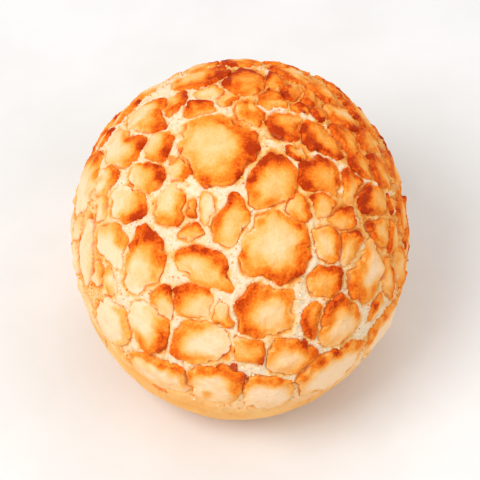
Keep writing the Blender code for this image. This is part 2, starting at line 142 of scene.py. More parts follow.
# The plates of the front as they show from SIGHT_ELEVATION, in millimetres and degrees: across
# and up from the middle of the outline, width, height, turn to the left, and then the way that
# the browned side faces (0 right, 90 up) and how brown the plate is.
SIGHT_ELEVATION = 50
SIGHT_DISTANCE = 0.72
SIGHT_MIDDLE_UP = 0.0012
SIGHT_STEPS = (0.90, 1.02, 1201)  # first and last share of the way to a target, and their number
FRONT_PLATES = (
    (-6.7, 27.0, 21.8, 24.8, 0, 0, 0.12),
    (-12.2, 38.8, 9.0, 5.0, 20, 110, 0.32),
    (3.0, 37.4, 8.7, 7.5, -30, 40, 0.05),
    (-27.0, 36.3, 12.2, 11.0, 25, -10, 0.10),
    (-34.4, 27.2, 12.0, 11.3, 40, 0, 0.02),
    (-23.9, 28.1, 7.0, 8.7, -15, -30, 0.05),
    (-28.3, 18.0, 13.0, 8.3, 12, 10, 0.06),
    (-33.0, 10.5, 11.7, 9.5, 0, -40, -0.02),
    (-20.0, 10.0, 10.4, 10.4, 0, -50, 0.06),
    (-13.7, 9.4, 3.9, 7.8, 10, -30, 0.15),
    (-2.6, 5.4, 9.6, 14.0, -10, 130, 0.08),
    (-14.4, 1.7, 10.5, 3.9, -12, 90, 0.15),
    (-29.1, -6.7, 11.3, 18.3, -12, 60, 0.14),
    (-10.9, -8.4, 20.4, 9.8, -38, 58, 0.12),
    (-13.7, -18.2, 10.9, 9.5, -30, 140, 0.12),
    (-22.6, -18.0, 7.0, 10.9, 12, 90, 0.06),
    (-27.0, -25.3, 10.9, 15.2, 5, -50, 0.06),
    (-37.6, -24.1, 10.9, 13.9, 5, 0, -0.26),
    (-11.5, -30.2, 16.0, 12.2, 3, 190, -0.02),
    (-5.2, -22.6, 4.8, 6.5, 0, -90, 0.05),
    (-23.9, -39.4, 20.0, 7.4, -24, 70, 0.02),
    (-7.4, -42.8, 15.7, 10.9, -8, 60, 0.10),
    (10.3, -2.1, 19.6, 22.2, 0, -60, 0.02),
    (7.2, -21.4, 16.5, 17.4, 0, 160, 0.16),
    (3.0, -31.8, 9.6, 8.0, -35, -45, 0.12),
    (25.4, -2.1, 7.0, 10.4, 0, 0, -0.04),
    (32.4, -2.2, 7.0, 11.7, -5, 80, -0.02),
    (25.5, -12.0, 10.9, 9.1, 0, 40, 0.28),
    (37.4, -8.9, 10.0, 19.0, -8, 200, -0.12),
    (29.1, -23.7, 13.0, 13.5, 0, 120, 0.00),
    (21.1, -24.6, 5.7, 14.4, 0, 180, 0.20),
    (14.5, -34.6, 12.2, 10.9, 0, 45, 0.04),
    (8.0, -45.3, 14.4, 9.1, 3, 90, -0.14),
    (27.0, -38.0, 22.6, 8.7, 32, 122, -0.16),
    (42.2, -25.0, 16.5, 6.1, 55, 145, -0.30),
    (9.8, 17.4, 14.4, 16.1, 0, 110, 0.20),
    (23.8, 18.7, 11.3, 12.6, -10, 130, 0.30),
    (24.8, 10.4, 6.1, 6.5, 0, 90, 0.05),
    (17.1, 10.2, 5.7, 8.7, 10, 0, 0.06),
    (32.8, 15.9, 6.1, 10.4, 0, 90, 0.06),
    (30.0, 6.2, 6.5, 8.2, 0, 60, 0.10),
    (23.9, 29.4, 16.5, 7.4, -38, 220, 0.26),
    (13.9, 33.7, 10.4, 8.7, -15, 225, 0.24),
    (3.0, 46.3, 14.5, 8.3, -5, 120, 0.30),
    (-12.4, 48.2, 15.2, 6.5, 10, -30, 0.15),
    (29.2, 36.8, 15.6, 7.6, -38, 240, -0.04),
    (37.8, 28.8, 11.6, 6.6, -58, 190, 0.04),
    (39.2, 10.8, 9.2, 9.6, 0, 180, 0.14),
    (40.6, 2.8, 7.6, 10.0, 0, 180, 0.10),
    (41.2, 20.8, 11.6, 5.8, -68, 180, 0.08),
    (8.4, 43.0, 9.4, 4.0, -10, 95, 0.40),
    (-17.8, 20.5, 4.8, 8.0, -20, 0, -0.04),
    (-37.6, -2.0, 9.0, 13.0, 0, 60, -0.10),
    (9.8, 46.4, 6.2, 5.6, -20, 90, 0.14),
    (15.4, 43.2, 9.6, 5.6, -54, 220, 0.16),
    (20.0, 41.6, 11.0, 5.0, -54, 220, 0.12),
    (24.8, 42.8, 12.4, 5.0, -46, 220, 0.10),
    (23.4, 37.4, 6.4, 4.2, -40, 200, 0.24),
    (31.4, 29.6, 12.6, 5.6, -45, 200, 0.14),
    (35.2, 36.8, 13.5, 4.4, -50, 215, 0.02),
    (35.4, 22.6, 9.4, 5.6, -50, 200, 0.14),
    (45.6, 20.2, 13.0, 3.6, -72, 180, 0.00),
    (47.3, 7.6, 12.0, 3.0, -88, 180, 0.00),
    (16.6, 48.2, 13.0, 4.4, -22, 200, 0.05),
    (-45.3, -3.0, 4.4, 24.0, 0, 0, -0.25),
    (-37.9, -12.3, 3.0, 9.5, -5, 180, 0.00),
    (-27.2, 43.9, 10.5, 3.0, 38, 220, -0.05),
    (9.2, 39.9, 11.0, 2.9, -6, 90, 0.10),
    (-13.5, 52.4, 12.0, 2.6, 12, 90, 0.00),
    (16.2, 39.2, 5.8, 3.0, -18, 60, 0.34),
    (-19.1, 48.8, 4.2, 5.0, 50, 90, 0.00),
    (-8.8, 43.3, 9.0, 3.4, 5, 90, -0.20),
    (-19.3, 40.0, 9.4, 4.0, 55, -30, 0.15),
    (43.5, -12.0, 3.4, 15.0, 8, 0, -0.05),
    (47.0, -8.5, 2.8, 12.0, 5, 0, 0.00),
    (44.8, 1.0, 3.6, 9.0, 0, 180, 0.00),
    (-10.5, 9.2, 5.0, 11.0, 0, 180, -0.22),
)
FRONT_GROWTH = 1.17

# The other sides follow a seeded rule: large plates first, each clear of those before it.
SCATTER_SEED = 11
SCATTER_GROWTH = 1.35
SCATTER_RADII = (0.0100, 0.0028)
SCATTER_SIZES = 15
SCATTER_TRIES = (14, 1800)  # places tried for the largest size and for the smallest
SCATTER_LIMIT = 96  # degrees from the crown to the lowest middle
STRETCH_RANGE = (1.0, 1.5)  # a plate's length over its breadth
RIM_STRETCH = 0.35  # and this share more where the crust ends
RIM_BAND = (70, 90)  # degrees from the crown over which plates come to lie along the rim
BROWNING_RANGE = (-0.06, 0.16)  # of a scattered plate
SIDE_WANDER = 50  # degrees by which its browned side turns away from the crown

CRACK_RANGE = (0.0006, 0.0016)
CRACK_SPREAD = (1.8, -0.0009)  # the fine surface takes the same cracks over a wider range
NEIGHBOUR_LIMIT = 0.035
SAME_PLACE = 1e-6
SMALLEST_HALF = 0.0008
CORNER_SOFTNESS = 12
JAG_SHARE = 0.03
JAG_WAVES = (3, 5, 8)
PHASE_LIMIT = 7  # random phases of waves run from 0 up to here, a little over a full turn
WANDERS = ((0.0085, 0.00042), (0.0034, 0.00015))  # length and reach of the bends in the cracks
WANDER_SEED = 40
WANDER_ROUNDS = 3  # in which a point is traced back to where it stood before the bends


def sight_frame():
    """Right, up and towards-the-eye vectors of the view that FRONT_PLATES is given in."""
    tilt = math.radians(SIGHT_ELEVATION)
    right = np.array((1.0, 0.0, 0.0))
    up = np.array((0.0, math.sin(tilt), math.cos(tilt)))
    return right, up, np.array((0.0, -math.cos(tilt), math.sin(tilt)))


def seen_place(across, up_seen):
    """Where the line of sight through a seen place first meets the dome, as a direction."""
    right, up, towards = sight_frame()
    eye = towards * SIGHT_DISTANCE
    target = right * across + up * (up_seen + SIGHT_MIDDLE_UP)
    share = np.linspace(*SIGHT_STEPS)
    path = eye + share[:, None] * (target - eye)
    outside = np.linalg.norm(path, axis=1) - np.linalg.norm(dome(unit(path)), axis=1)
    inside = np.flatnonzero(outside < 0)
    first = inside[0] if len(inside) else int(np.argmin(outside))
    return unit(path[first])


def front_plate(across, up_seen, width, height, turn):
    """A plate from its size and place as seen; its axes are un-foreshortened onto the dome."""
    right, up, towards = sight_frame()
    direction = seen_place(across / 1000, up_seen / 1000)
    centre = dome(direction)
    normal = dome_normal(direction)
    nearer = 1 - centre @ towards / SIGHT_DISTANCE
    angle = math.radians(turn)
    along = (math.cos(angle) * right + math.sin(angle) * up) / (width / 2000 * nearer)
    across = (math.cos(angle) * up - math.sin(angle) * right) / (height / 2000 * nearer)
    along = along - (along @ normal) * normal
    across = across - (across @ normal) * normal
    return Plates(centre, normal, along, across, FRONT_GROWTH)


def scattered_plate(direction, radius, stretch, turn):
    """A plate of a given mean radius, stretched and turned in the plane that touches the dome."""
    normal = dome_normal(direction)
    level = unit(np.cross((0.0, 0.0, 1.0), normal))
    rising = np.cross(normal, level)
    longer = math.sqrt(stretch)
    along = (math.cos(turn) * level + math.sin(turn) * rising) / (radius * longer)
    across = (math.cos(turn) * rising - math.sin(turn) * level) * longer / radius
    return Plates(dome(direction), normal, along, across, SCATTER_GROWTH)


def reach(along, across, ray):
    """Distance from a plate's middle to its ellipse along unit vectors in its plane."""
    return 1 / np.hypot((ray * along).sum(-1), (ray * across).sum(-1))


def neighbours(plate, plates):
    """Distance to every plate's middle, the way there, and the reach of both towards each other."""
    gap = plates.centre - plate.centre
    apart = np.linalg.norm(gap, axis=1) + TINY
    towards = unit(gap - (gap @ plate.normal)[:, None] * plate.normal + TINY)
    back = unit((gap * plates.normal).sum(1)[:, None] * plates.normal - gap + TINY)
    own = reach(plate.along, plate.across, towards)
    theirs = reach(plates.along, plates.across, back)
    return apart, towards, own, theirs


def stack(rows):
    """Many plates as one record of arrays."""
    return Plates(*(np.array(column) for column in zip(*rows)))


def plate_at(index):
    """One plate out of the record of all of them."""
    return Plates(*(column[index] for column in plates))


def lay_plates():
    """The front plates as listed, then the seeded rule for the rest of the dome."""
    rows = [front_plate(*row[:5]) for row in FRONT_PLATES]
    plates = stack(rows)
    rng = np.random.default_rng(SCATTER_SEED)
    lowest = math.cos(math.radians(SCATTER_LIMIT))
    radii = np.geomspace(*SCATTER_RADII, SCATTER_SIZES)
    for radius, tries in zip(radii, np.geomspace(*SCATTER_TRIES, SCATTER_SIZES).astype(int)):
        from_crown = np.arccos(rng.uniform(lowest, 1, tries))
        directions = direction_of(rng.uniform(-math.pi, math.pi, tries), from_crown)
        # Low on the side the rising dough pulls the plates out along the rim.
        low = np.clip((np.degrees(from_crown) - RIM_BAND[0]) / (RIM_BAND[1] - RIM_BAND[0]), 0, 1)
        stretch = rng.uniform(*STRETCH_RANGE, tries) * (1 + RIM_STRETCH * low)
        turn = rng.uniform(-math.pi / 2, math.pi / 2, tries) * (1 - low)
        places = dome(directions)
        for row in range(tries):
            if np.linalg.norm(plates.centre - places[row], axis=1).min() < radius:
                continue
            plate = scattered_plate(directions[row], radius, stretch[row], turn[row])
            apart, _, own, theirs = neighbours(plate, plates)
            if np.all(apart > own + theirs + CRACK_RANGE[0]):
                rows.append(plate)
                plates = stack(rows)
    return plates


def plate_looks(plates):
    """The way each plate's browned side faces, a unit vector in its plane, and how brown it is.

    Listed for the front; elsewhere the side towards the crown browns most, give or take.
    """
    right, up, _ = sight_frame()
    rng = np.random.default_rng(SCATTER_SEED + 2)
    listed = np.array(FRONT_PLATES)
    angle = np.radians(listed[:, 5])[:, None]
    facing = np.cos(angle) * right + np.sin(angle) * up
    rest = plates.normal[len(listed):]
    level = unit(np.cross((0.0, 0.0, 1.0), rest))
    wander = np.radians(rng.uniform(-SIDE_WANDER, SIDE_WANDER, len(rest)))[:, None]
    scattered = np.cos(wander) * np.cross(rest, level) + np.sin(wander) * level
    facing = np.concatenate((facing, scattered))
    facing = unit(facing - (facing * plates.normal).sum(1)[:, None] * plates.normal)
    browning = np.concatenate((listed[:, 6], rng.uniform(*BROWNING_RANGE, len(rest))))
    return Looks(facing, browning)


def plane_axes(plate):
    """Two unit vectors across each other in the plane of a plate."""
    first = unit(plate.along)
    return first, np.cross(plate.normal, first)


def outline_radius(index, angles):
    """Radius of a plate's outline at angles in its plane, and the way to each point.

    A soft minimum of its own grown ellipse and of the cracks that it shares with its
    neighbours, with waves of three numbers around the plate.
    """
    plate = plate_at(index)
    first, second = plane_axes(plate)
    ray = np.cos(angles)[:, None] * first + np.sin(angles)[:, None] * second
    own_reach = plate.growth * reach(plate.along, plate.across, ray)
    apart, towards, own, theirs = neighbours(plate, plates)
    wall = np.maximum(apart * own / (own + theirs) - cracks[index] / 2, SMALLEST_HALF)
    near = (apart > SAME_PLACE) & (apart < NEIGHBOUR_LIMIT)
    facing = np.maximum(ray @ towards[near].T, 0) / wall[near]
    squeeze = (1 / own_reach) ** CORNER_SOFTNESS + (facing**CORNER_SOFTNESS).sum(1)
    waves = sum(np.sin(count * angles + phase) for count, phase in zip(JAG_WAVES, jags[index]))
    ragged = 1 + JAG_SHARE * waves / math.sqrt(len(JAG_WAVES))
    return squeeze ** (-1 / CORNER_SOFTNESS) * ragged, ray


plates = lay_plates()
looks = plate_looks(plates)
plate_number = len(plates.centre)
outline_rng = np.random.default_rng(SCATTER_SEED + 1)
cracks = outline_rng.uniform(*CRACK_RANGE, (plate_number, plate_number))
cracks = (cracks + cracks.T) / 2 * CRACK_SPREAD[0] + CRACK_SPREAD[1]
jags = outline_rng.uniform(0, PHASE_LIMIT, (plate_number, len(JAG_WAVES)))

OUTLINE_TURN = np.linspace(-math.pi, math.pi, 241)
FARTHEST_GAP = 0.02
BESIDE_PLATE = 0.006  # from a plate's rim, within which it can be the nearest
outline_table = [outline_radius(index, OUTLINE_TURN)[0] for index in range(plate_number)]


def wander(points):
    """A sideways push by smooth noise, alike on both sides of a crack, so that cracks bend."""
    push = np.zeros(points.shape)
    for number, (length, reach_out) in enumerate(WANDERS):
        seeds = WANDER_SEED + 3 * number + np.arange(3)
        push += reach_out * np.stack([grain(points, length, seed) for seed in seeds], -1)
    return push


def crack_distances(points):
    """How far each point of the floor is from the nearest plate's rim, and from the next one's.

    Below 0 it is under a plate.
    """
    straight = points
    for _ in range(WANDER_ROUNDS):
        straight = points - wander(straight)
    points = straight
    nearest = np.full(len(points), FARTHEST_GAP)
    next_nearest = nearest.copy()
    for index, table in enumerate(outline_table):
        plate = plate_at(index)
        away = points - plate.centre
        near = np.flatnonzero((away * away).sum(1) < (table.max() + BESIDE_PLATE) ** 2)
        first, second = plane_axes(plate)
        x, y = away[near] @ first, away[near] @ second
        gap = np.hypot(x, y) - np.interp(np.arctan2(y, x), OUTLINE_TURN, table)
        next_nearest[near] = np.minimum(next_nearest[near], np.maximum(nearest[near], gap))
        nearest[near] = np.minimum(nearest[near], gap)
    return nearest, next_nearest


# Places that the oven scorched on the front, in millimetres as they show: across, up, size and
# strength.  The last ones, below 0, are stretches of crack that stayed pale in the browned part.
SCORCH_FIRMNESS = 1.5  # power of the distance in a spot's bell
SCORCH_IN_SIGHT = (-0.05, 0.1)  # cosines to the line of sight over which the spots set in
SCORCHES = (
    (-7.4, 52.9, 1.3, 0.35), (8.7, 50.4, 0.8, 0.4), (13.9, 50.9, 0.9, 0.4), (-20.9, 48.9, 1.2, 0.15),
    (-2.2, 49.4, 1.2, 0.2), (3.9, 49.4, 1.3, 0.35), (8.7, 47.6, 0.9, 0.25), (-6.1, 48.1, 1.0, 0.4),
    (-9.1, 47.2, 1.1, 0.3), (-14.4, 46.3, 0.9, 0.15), (-17.8, 46.6, 1.0, 0.35), (-3.5, 46.3, 1.1, 0.45),
    (-0.4, 45.0, 1.0, 0.3), (5.7, 43.7, 1.2, 0.3), (9.1, 43.7, 1.3, 0.3), (12.2, 42.4, 1.3, 0.45),
    (14.4, 44.6, 0.9, 0.45), (17.8, 38.5, 1.5, 0.4), (-17.4, 42.4, 1.8, 0.35), (-20.4, 39.4, 1.4, 0.25),
    (-14.8, 38.1, 1.4, 0.3), (-11.5, 39.6, 1.5, 0.35), (1.7, 39.8, 1.5, 0.35), (3.6, 37.2, 2.2, 0.5),
    (6.5, 33.3, 1.2, 0.4), (10.9, 30.7, 1.8, 0.55), (14.4, 37.2, 0.9, 0.25), (24.4, 34.6, 0.9, 0.3),
    (27.0, 33.7, 1.0, 0.35), (30.0, 32.4, 1.0, 0.35), (33.1, 32.0, 1.3, 0.45), (30.5, 39.4, 0.9, 0.3),
    (33.5, 35.9, 0.8, 0.3), (35.7, 32.8, 0.9, 0.3), (38.3, 29.8, 0.9, 0.25), (41.8, 31.1, 1.0, 0.3),
    (18.3, 32.8, 1.6, 0.4), (20.9, 29.8, 1.5, 0.4), (22.6, 27.2, 1.4, 0.35), (25.2, 25.0, 1.3, 0.3),
    (34.4, 26.8, 0.9, 0.25), (37.0, 24.1, 1.0, 0.3), (40.5, 27.2, 0.8, 0.35), (38.3, 20.7, 1.0, 0.4),
    (42.2, 20.2, 1.6, 0.25), (35.2, 18.1, 0.9, 0.25), (37.4, 14.6, 1.1, 0.45), (36.5, 12.0, 1.6, 0.45),
    (42.2, 14.1, 0.9, 0.25), (36.1, 7.6, 1.4, 0.35), (33.9, 2.4, 1.4, 0.35), (37.4, 4.6, 1.1, 0.3),
    (18.7, 23.3, 1.8, 0.4), (25.7, 21.5, 1.3, 0.25), (28.5, 17.4, 1.2, 0.4), (19.6, 15.6, 1.5, 0.4),
    (20.4, 12.6, 1.2, 0.3), (30.5, 9.6, 1.2, 0.35), (28.3, 10.7, 1.3, 0.25), (-21.6, 25.4, 1.4, 0.35),
    (-20.9, 29.8, 1.5, 0.25), (-28.7, 26.8, 1.2, 0.15), (3.5, 26.3, 1.6, 0.35), (3.0, 22.4, 1.4, 0.4),
    (0.0, 18.5, 1.5, 0.45), (-19.6, 23.3, 1.4, 0.3), (-27.0, 22.0, 1.2, 0.3), (-23.9, 21.5, 1.0, 0.4),
    (-23.1, 18.1, 1.8, 0.3), (-10.0, 17.0, 1.9, 0.4), (-15.7, 16.3, 1.0, 0.35), (-0.9, 16.3, 1.0, 0.25),
    (6.5, 22.8, 1.6, 0.3), (10.0, 25.4, 1.7, 0.35), (13.5, 25.0, 1.2, 0.3), (3.5, 17.6, 1.5, 0.35),
    (4.8, 12.8, 1.3, 0.3), (-40.5, 17.6, 1.2, 0.2), (-27.8, 8.9, 1.8, 0.3), (-30.0, 7.2, 1.8, 0.3),
    (-14.8, 12.0, 1.8, 0.25), (-14.8, 6.7, 1.6, 0.25), (7.8, 8.0, 1.2, 0.35), (11.7, 8.9, 1.5, 0.35),
    (6.1, 5.4, 1.4, 0.25), (17.4, 3.7, 1.2, 0.35), (18.7, -1.5, 1.5, 0.3), (0.9, -4.6, 1.3, 0.35),
    (16.5, -10.7, 1.6, 0.35), (14.8, -12.8, 1.4, 0.3), (-26.1, 3.7, 1.0, 0.4), (-26.1, 0.7, 1.8, 0.35),
    (-28.7, -0.7, 1.5, 0.3), (-38.3, -9.4, 1.2, 0.2), (-37.8, -14.6, 1.2, 0.2), (-19.1, -5.0, 1.7, 0.35),
    (-16.5, -2.8, 1.6, 0.3), (-13.5, -2.4, 1.6, 0.3), (-10.4, -3.7, 1.4, 0.3), (-7.0, -6.3, 1.2, 0.25),
    (-3.9, -9.4, 1.8, 0.4), (-19.6, -14.1, 2.0, 0.35), (-18.3, -17.6, 1.4, 0.25), (-9.6, -15.4, 1.0, 0.3),
    (30.0, -12.4, 1.8, 0.3), (13.9, -17.6, 1.9, 0.3), (14.4, -23.7, 1.2, 0.2), (14.4, -27.6, 1.0, 0.3),
    (24.4, -21.1, 1.8, 0.35), (27.0, -18.9, 1.5, 0.3), (30.9, -18.5, 1.4, 0.25), (34.4, -22.0, 1.4, 0.25),
    (18.7, -30.2, 1.2, 0.4), (-22.6, -32.4, 1.3, 0.3), (-31.8, -34.1, 1.2, 0.35), (-27.0, -35.5, 1.2, 0.25),
    (-22.6, -37.2, 1.2, 0.3), (-19.6, -38.9, 1.4, 0.35), (-4.3, -34.6, 1.1, 0.35), (-14.8, -39.8, 1.4, 0.3),
    (-9.6, -45.0, 1.4, 0.3), (5.7, -40.7, 1.2, 0.2), (11.7, -40.7, 1.2, 0.2), (18.7, -40.2, 1.2, 0.3),
    (23.9, -35.5, 1.4, 0.35), (27.8, -32.8, 1.4, 0.35), (30.5, -30.7, 1.1, 0.35), (37.0, -29.4, 1.6, 0.35),
    (38.7, -26.8, 1.2, 0.3), (42.2, -22.4, 1.1, 0.25), (45.7, -18.9, 1.0, 0.3), (47.0, -15.9, 1.0, 0.2),
    (1.6, -19.0, 2.6, 0.16), (3.4, -25.6, 2.4, 0.12), (3.0, -31.4, 3.0, 0.26), (21.1, -24.6, 2.6, 0.25),
    (4.0, 38.8, 1.6, -0.8), (6.5, 38.4, 1.6, -0.8), (9.5, 38.2, 1.6, -0.8), (12.5, 38.0, 1.4, -0.8),
    (15.5, 37.4, 1.2, -0.8), (18.5, 36.6, 1.3, -0.8), (21.0, 35.9, 1.2, -0.7), (24.8, 33.4, 1.0, -0.6),
    (26.8, 32.2, 1.1, -0.8), (28.8, 31.0, 1.1, -0.7), (22.0, 24.8, 1.3, -0.8), (24.8, 24.0, 1.3, -0.8),
    (27.4, 22.8, 1.4, -0.8), (29.8, 21.2, 1.3, -0.8), (31.4, 20.2, 1.0, -0.6), (14.2, 27.0, 1.2, -0.8),
    (15.2, 24.6, 1.2, -0.8), (16.2, 21.6, 1.0, -0.7), (29.4, 18.0, 1.2, -0.7), (30.2, 14.6, 1.1, -0.8),
    (31.2, 11.8, 1.1, -0.8), (32.2, 8.8, 1.1, -0.8), (33.4, 5.8, 1.1, -0.7), (34.4, 19.6, 1.0, -0.6),
    (37.2, 17.4, 1.2, -0.7), (40.0, 16.0, 1.2, -0.8), (43.6, 13.6, 1.3, -0.8), (45.6, 8.6, 1.1, -0.6),
    (8.2, 49.4, 1.0, -0.7), (36.4, -2.0, 1.0, -0.6), (39.6, 6.6, 0.9, -0.5), (34.0, -14.5, 1.2, -0.6),
)


def scorch(points):
    """Extra browning on the side that the eye sees: a bell over each of the listed places."""
    right, up, towards = sight_frame()
    nearer = SIGHT_DISTANCE / (SIGHT_DISTANCE - points @ towards)
    across = 1000 * (points @ right) * nearer
    above = 1000 * ((points @ up) * nearer - SIGHT_MIDDLE_UP)
    total = np.zeros(across.shape)
    for spot_across, spot_up, size, strength in SCORCHES:
        away = ((across - spot_across) ** 2 + (above - spot_up) ** 2) / size**2
        total += strength * np.exp(-(away**SCORCH_FIRMNESS))
    return total * ease(*SCORCH_IN_SIGHT, unit(points) @ towards)


def closed_skin(rings, top, bottom, **marks):
    """Rings of points, row by row outwards from a top point, closed by a bottom point.

    marks are numbers for each ring point, with the top's and the bottom's taken from the
    nearest ring.
    """
    rows, columns = rings.shape[:2]
    points = np.concatenate((top[None], rings.reshape(-1, 3), bottom[None]))
    index = 1 + np.arange(rows * columns).reshape(rows, columns)
    beside = np.roll(index, -1, axis=1)
    quads = np.stack((index[:-1], index[1:], beside[1:], beside[:-1]), -1).reshape(-1, 4)
    crown = np.stack((np.zeros(columns, int), index[0], beside[0]), -1)
    foot = np.stack((np.full(columns, len(points) - 1), beside[-1], index[-1]), -1)
    values = {
        name: np.concatenate(([mark[0].mean()], mark.ravel(), [mark[-1].mean()]))
        for name, mark in marks.items()
    }
    return points, quads, np.concatenate((crown, foot)), values


def piece_from(name, skins, material):
    """One smooth mesh object made of closed skins, with their marks as point attributes."""
    starts = np.cumsum([0] + [len(skin[0]) for skin in skins])
    points = np.concatenate([skin[0] for skin in skins]) + roll_middle
    quads = np.concatenate([skin[1] + start for skin, start in zip(skins, starts)])
    triangles = np.concatenate([skin[2] + start for skin, start in zip(skins, starts)])
    mesh = bpy.data.meshes.new(name)
    mesh.vertices.add(len(points))
    mesh.vertices.foreach_set("co", points.ravel())
    mesh.loops.add(quads.size + triangles.size)
    mesh.loops.foreach_set("vertex_index", np.concatenate((quads.ravel(), triangles.ravel())))
    face_starts = (np.arange(len(quads)) * 4, quads.size + np.arange(len(triangles)) * 3)
    mesh.polygons.add(len(quads) + len(triangles))
    mesh.polygons.foreach_set("loop_start", np.concatenate(face_starts))
    for key in skins[0][3]:
        attribute = mesh.attributes.new(key, "FLOAT", "POINT")
        attribute.data.foreach_set("value", np.concatenate([skin[3][key] for skin in skins]))
    mesh.update(calc_edges=True)
    mesh.shade_smooth()
    mesh.materials.append(material)
    made = bpy.data.objects.new(name, mesh)
    bpy.context.scene.collection.objects.link(made)
    return made


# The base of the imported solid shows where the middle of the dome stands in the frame.
BASE_CORNERS = 56
BASE_EDGE_RANGE = (129, 165)  # degrees from the crown between which the base's edge lies
BASE_HALVINGS = 40
BASE_TOLERANCE = 1e-5


def base_middle():
    """Middle, across and along, of the base's outline by the dome's own formula, by halving."""
    bearing = around(BASE_CORNERS)
    high, low = (np.full(BASE_CORNERS, math.radians(angle)) for angle in BASE_EDGE_RANGE)
    for _ in range(BASE_HALVINGS):
        middle = (high + low) / 2
        above = dome(direction_of(bearing, middle))[:, 2] > -BASE_DROP
        high = np.where(above, middle, high)
        low = np.where(above, low, middle)
    edge = dome(direction_of(bearing, high))
    return (edge.min(0) + edge.max(0))[:2] / 2


roll_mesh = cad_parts["tiger_roll"].data
cad_points = np.empty(len(roll_mesh.vertices) * 3)
roll_mesh.vertices.foreach_get("co", cad_points)
cad_points = cad_points.reshape(-1, 3)
cad_base = cad_points[cad_points[:, 2] < BASE_TOLERANCE]
base_shift = (cad_base.min(0) + cad_base.max(0))[:2] / 2 - base_middle()
roll_middle = np.array((*base_shift, BASE_DROP))

CRUST_FULL_TO = 92  # degrees from the crown
CRUST_THIN_FROM = 110
CRUST_LEAN = 10  # degrees by which both lie lower on the right and higher on the left
THIN_SHARE = 0.06


def low_down(direction, start, end):
    """0 above one angle from the crown and 1 below another, both lower on the right."""
    lean = CRUST_LEAN * np.cos(np.arctan2(direction[..., 1], direction[..., 0]))
    return ease(start, end, crown_angle(direction) - lean)


def crust_share(direction):
    """1 where the crust has its full thickness, falling smoothly to THIN_SHARE on the side."""
    return 1 - (1 - THIN_SHARE) * low_down(direction, CRUST_FULL_TO, CRUST_THIN_FROM)


FLOOR_COLUMNS = 640
FLOOR_ROWS = 148
FLOOR_END = 102  # degrees from the crown, where the plain side takes over
FLOOR_UNDER_PLATES = -0.00025
CRUMB_SWELL = 0.00110  # rise of the floor in the middle of a wide crack
SWELL_RANGE = (-0.0011, 0.0007)  # distances from the rim over which it swells
CRUMB_HEIGHT = 0.00016
CRUMB_GRAINS = ((0.0026, 3, 1.0), (0.0014, 4, 0.9))  # wavelength, seed and share of the height
SIDE_UNDULATION = (0.012, 5, 0.00012)  # wavelength, seed and height
SKIN_RANGE = (86, 101)  # degrees from the crown over which the crumb gives way to the skin
TUCK_SHARES = (0.97, 0.5)  # widths of the hidden rings that turn inwards at an open edge
TUCK_STEP = 0.002  # how far above or below the edge they lie
SHARP_ANGLE = 70
# Toast is how brown the crumb is, and right beside the rims partly painted shade.  How far it
# reaches from the rims: least, more in patches and more on the oven's side.
TOAST_REACH = (0.00028, 0.00060, 0.0030)
TOAST_PATCHES = (0.011, 6, -0.2, 1.6)  # wavelength and seed of a noise, and where it sets in
NARROW_TOAST = (0.0015, 0.0004, 0.45)  # cracks between these widths are this much browner
# Beside every rim the toast darkens the crease between floor and plate, partly as painted shade.
RIM_TOAST_AND_SHADE = (0.64, 0.22)  # beside every rim, and more on the oven's side
OVEN_SIDE = unit(np.array((0.78, 0.40, 0.48)))  # the roll is browner towards here
OVEN_SIDE_RANGE = (0.40, 0.85)  # cosines to that side
# Towards here its crust stays pale, with golden cracks.
PALE_SIDE = unit(np.array((-0.97, -0.20, 0.10)))
PALE_SIDE_RANGE = (0.76, 0.96)
PALE_SIDE_TOAST = 0.4


def pale_side(direction):
    """1 on the side that stayed pale, 0 away from it."""
    return ease(*PALE_SIDE_RANGE, direction @ PALE_SIDE)


def floor_surface(direction):
    """The dough's skin, and its marks.

    Dome plus a swell that grows with the distance from the nearest rim, plus two sizes of
    crumb; on the plain side only a slow undulation is left.
    """
    place = dome(direction)
    distances = crack_distances(place.reshape(-1, 3))
    gap, across = (distance.reshape(direction.shape[:-1]) for distance in distances)
    crust = crust_share(direction)
    opening = ease(*SWELL_RANGE, gap)
    crumb = sum(share * grain(place, length, seed) for length, seed, share in CRUMB_GRAINS)
    height = FLOOR_UNDER_PLATES + (CRUMB_SWELL - FLOOR_UNDER_PLATES) * opening
    height = height + CRUMB_HEIGHT * crumb * opening
    length, seed, rise = SIDE_UNDULATION
    height = height * crust + rise * grain(place, length, seed) * (1 - crust)
    length, seed, *sets_in = TOAST_PATCHES
    patchy = TOAST_REACH[1] * ease(*sets_in, grain(place, length, seed))
    oven = ease(*OVEN_SIDE_RANGE, direction @ OVEN_SIDE)
    # Browner nearer the rims; in the crease right beside them this is partly painted shade.
    toast = np.exp(-np.maximum(gap, 0) / (TOAST_REACH[0] + patchy + TOAST_REACH[2] * oven))
    toast = toast * (RIM_TOAST_AND_SHADE[0] + RIM_TOAST_AND_SHADE[1] * oven)
    toast = toast + PALE_SIDE_TOAST * pale_side(direction)
    toast = toast + NARROW_TOAST[2] * ease(*NARROW_TOAST[:2], gap + across)
    toast = np.clip(toast + scorch(place), 0, 1) * crust
    surface = place + dome_normal(direction) * height[..., None]
    return surface, toast, low_down(direction, *SKIN_RANGE)


def tuck(edge, step):
    """Hidden rings that turn inwards from an open edge, and the point that closes them."""
    level = edge.mean(0)
    rings = [level + (edge - level) * share + (0, 0, step) for share in TUCK_SHARES]
    return rings, level + (0, 0, step)


def display(red, green, blue):
    """A colour from its 0 to 255 values on screen, by the screen's own curve."""
    shown = np.array((red, green, blue)) / 255
    linear = np.where(shown <= 0.04045, shown / 12.92, ((shown + 0.055) / 1.055) ** 2.4)
    return (*linear.tolist(), 1.0)


def shades(*stops):
    """Stops for a colour ramp, each from its position and three values on screen."""
    return [(position, display(*colour)) for position, *colour in stops]


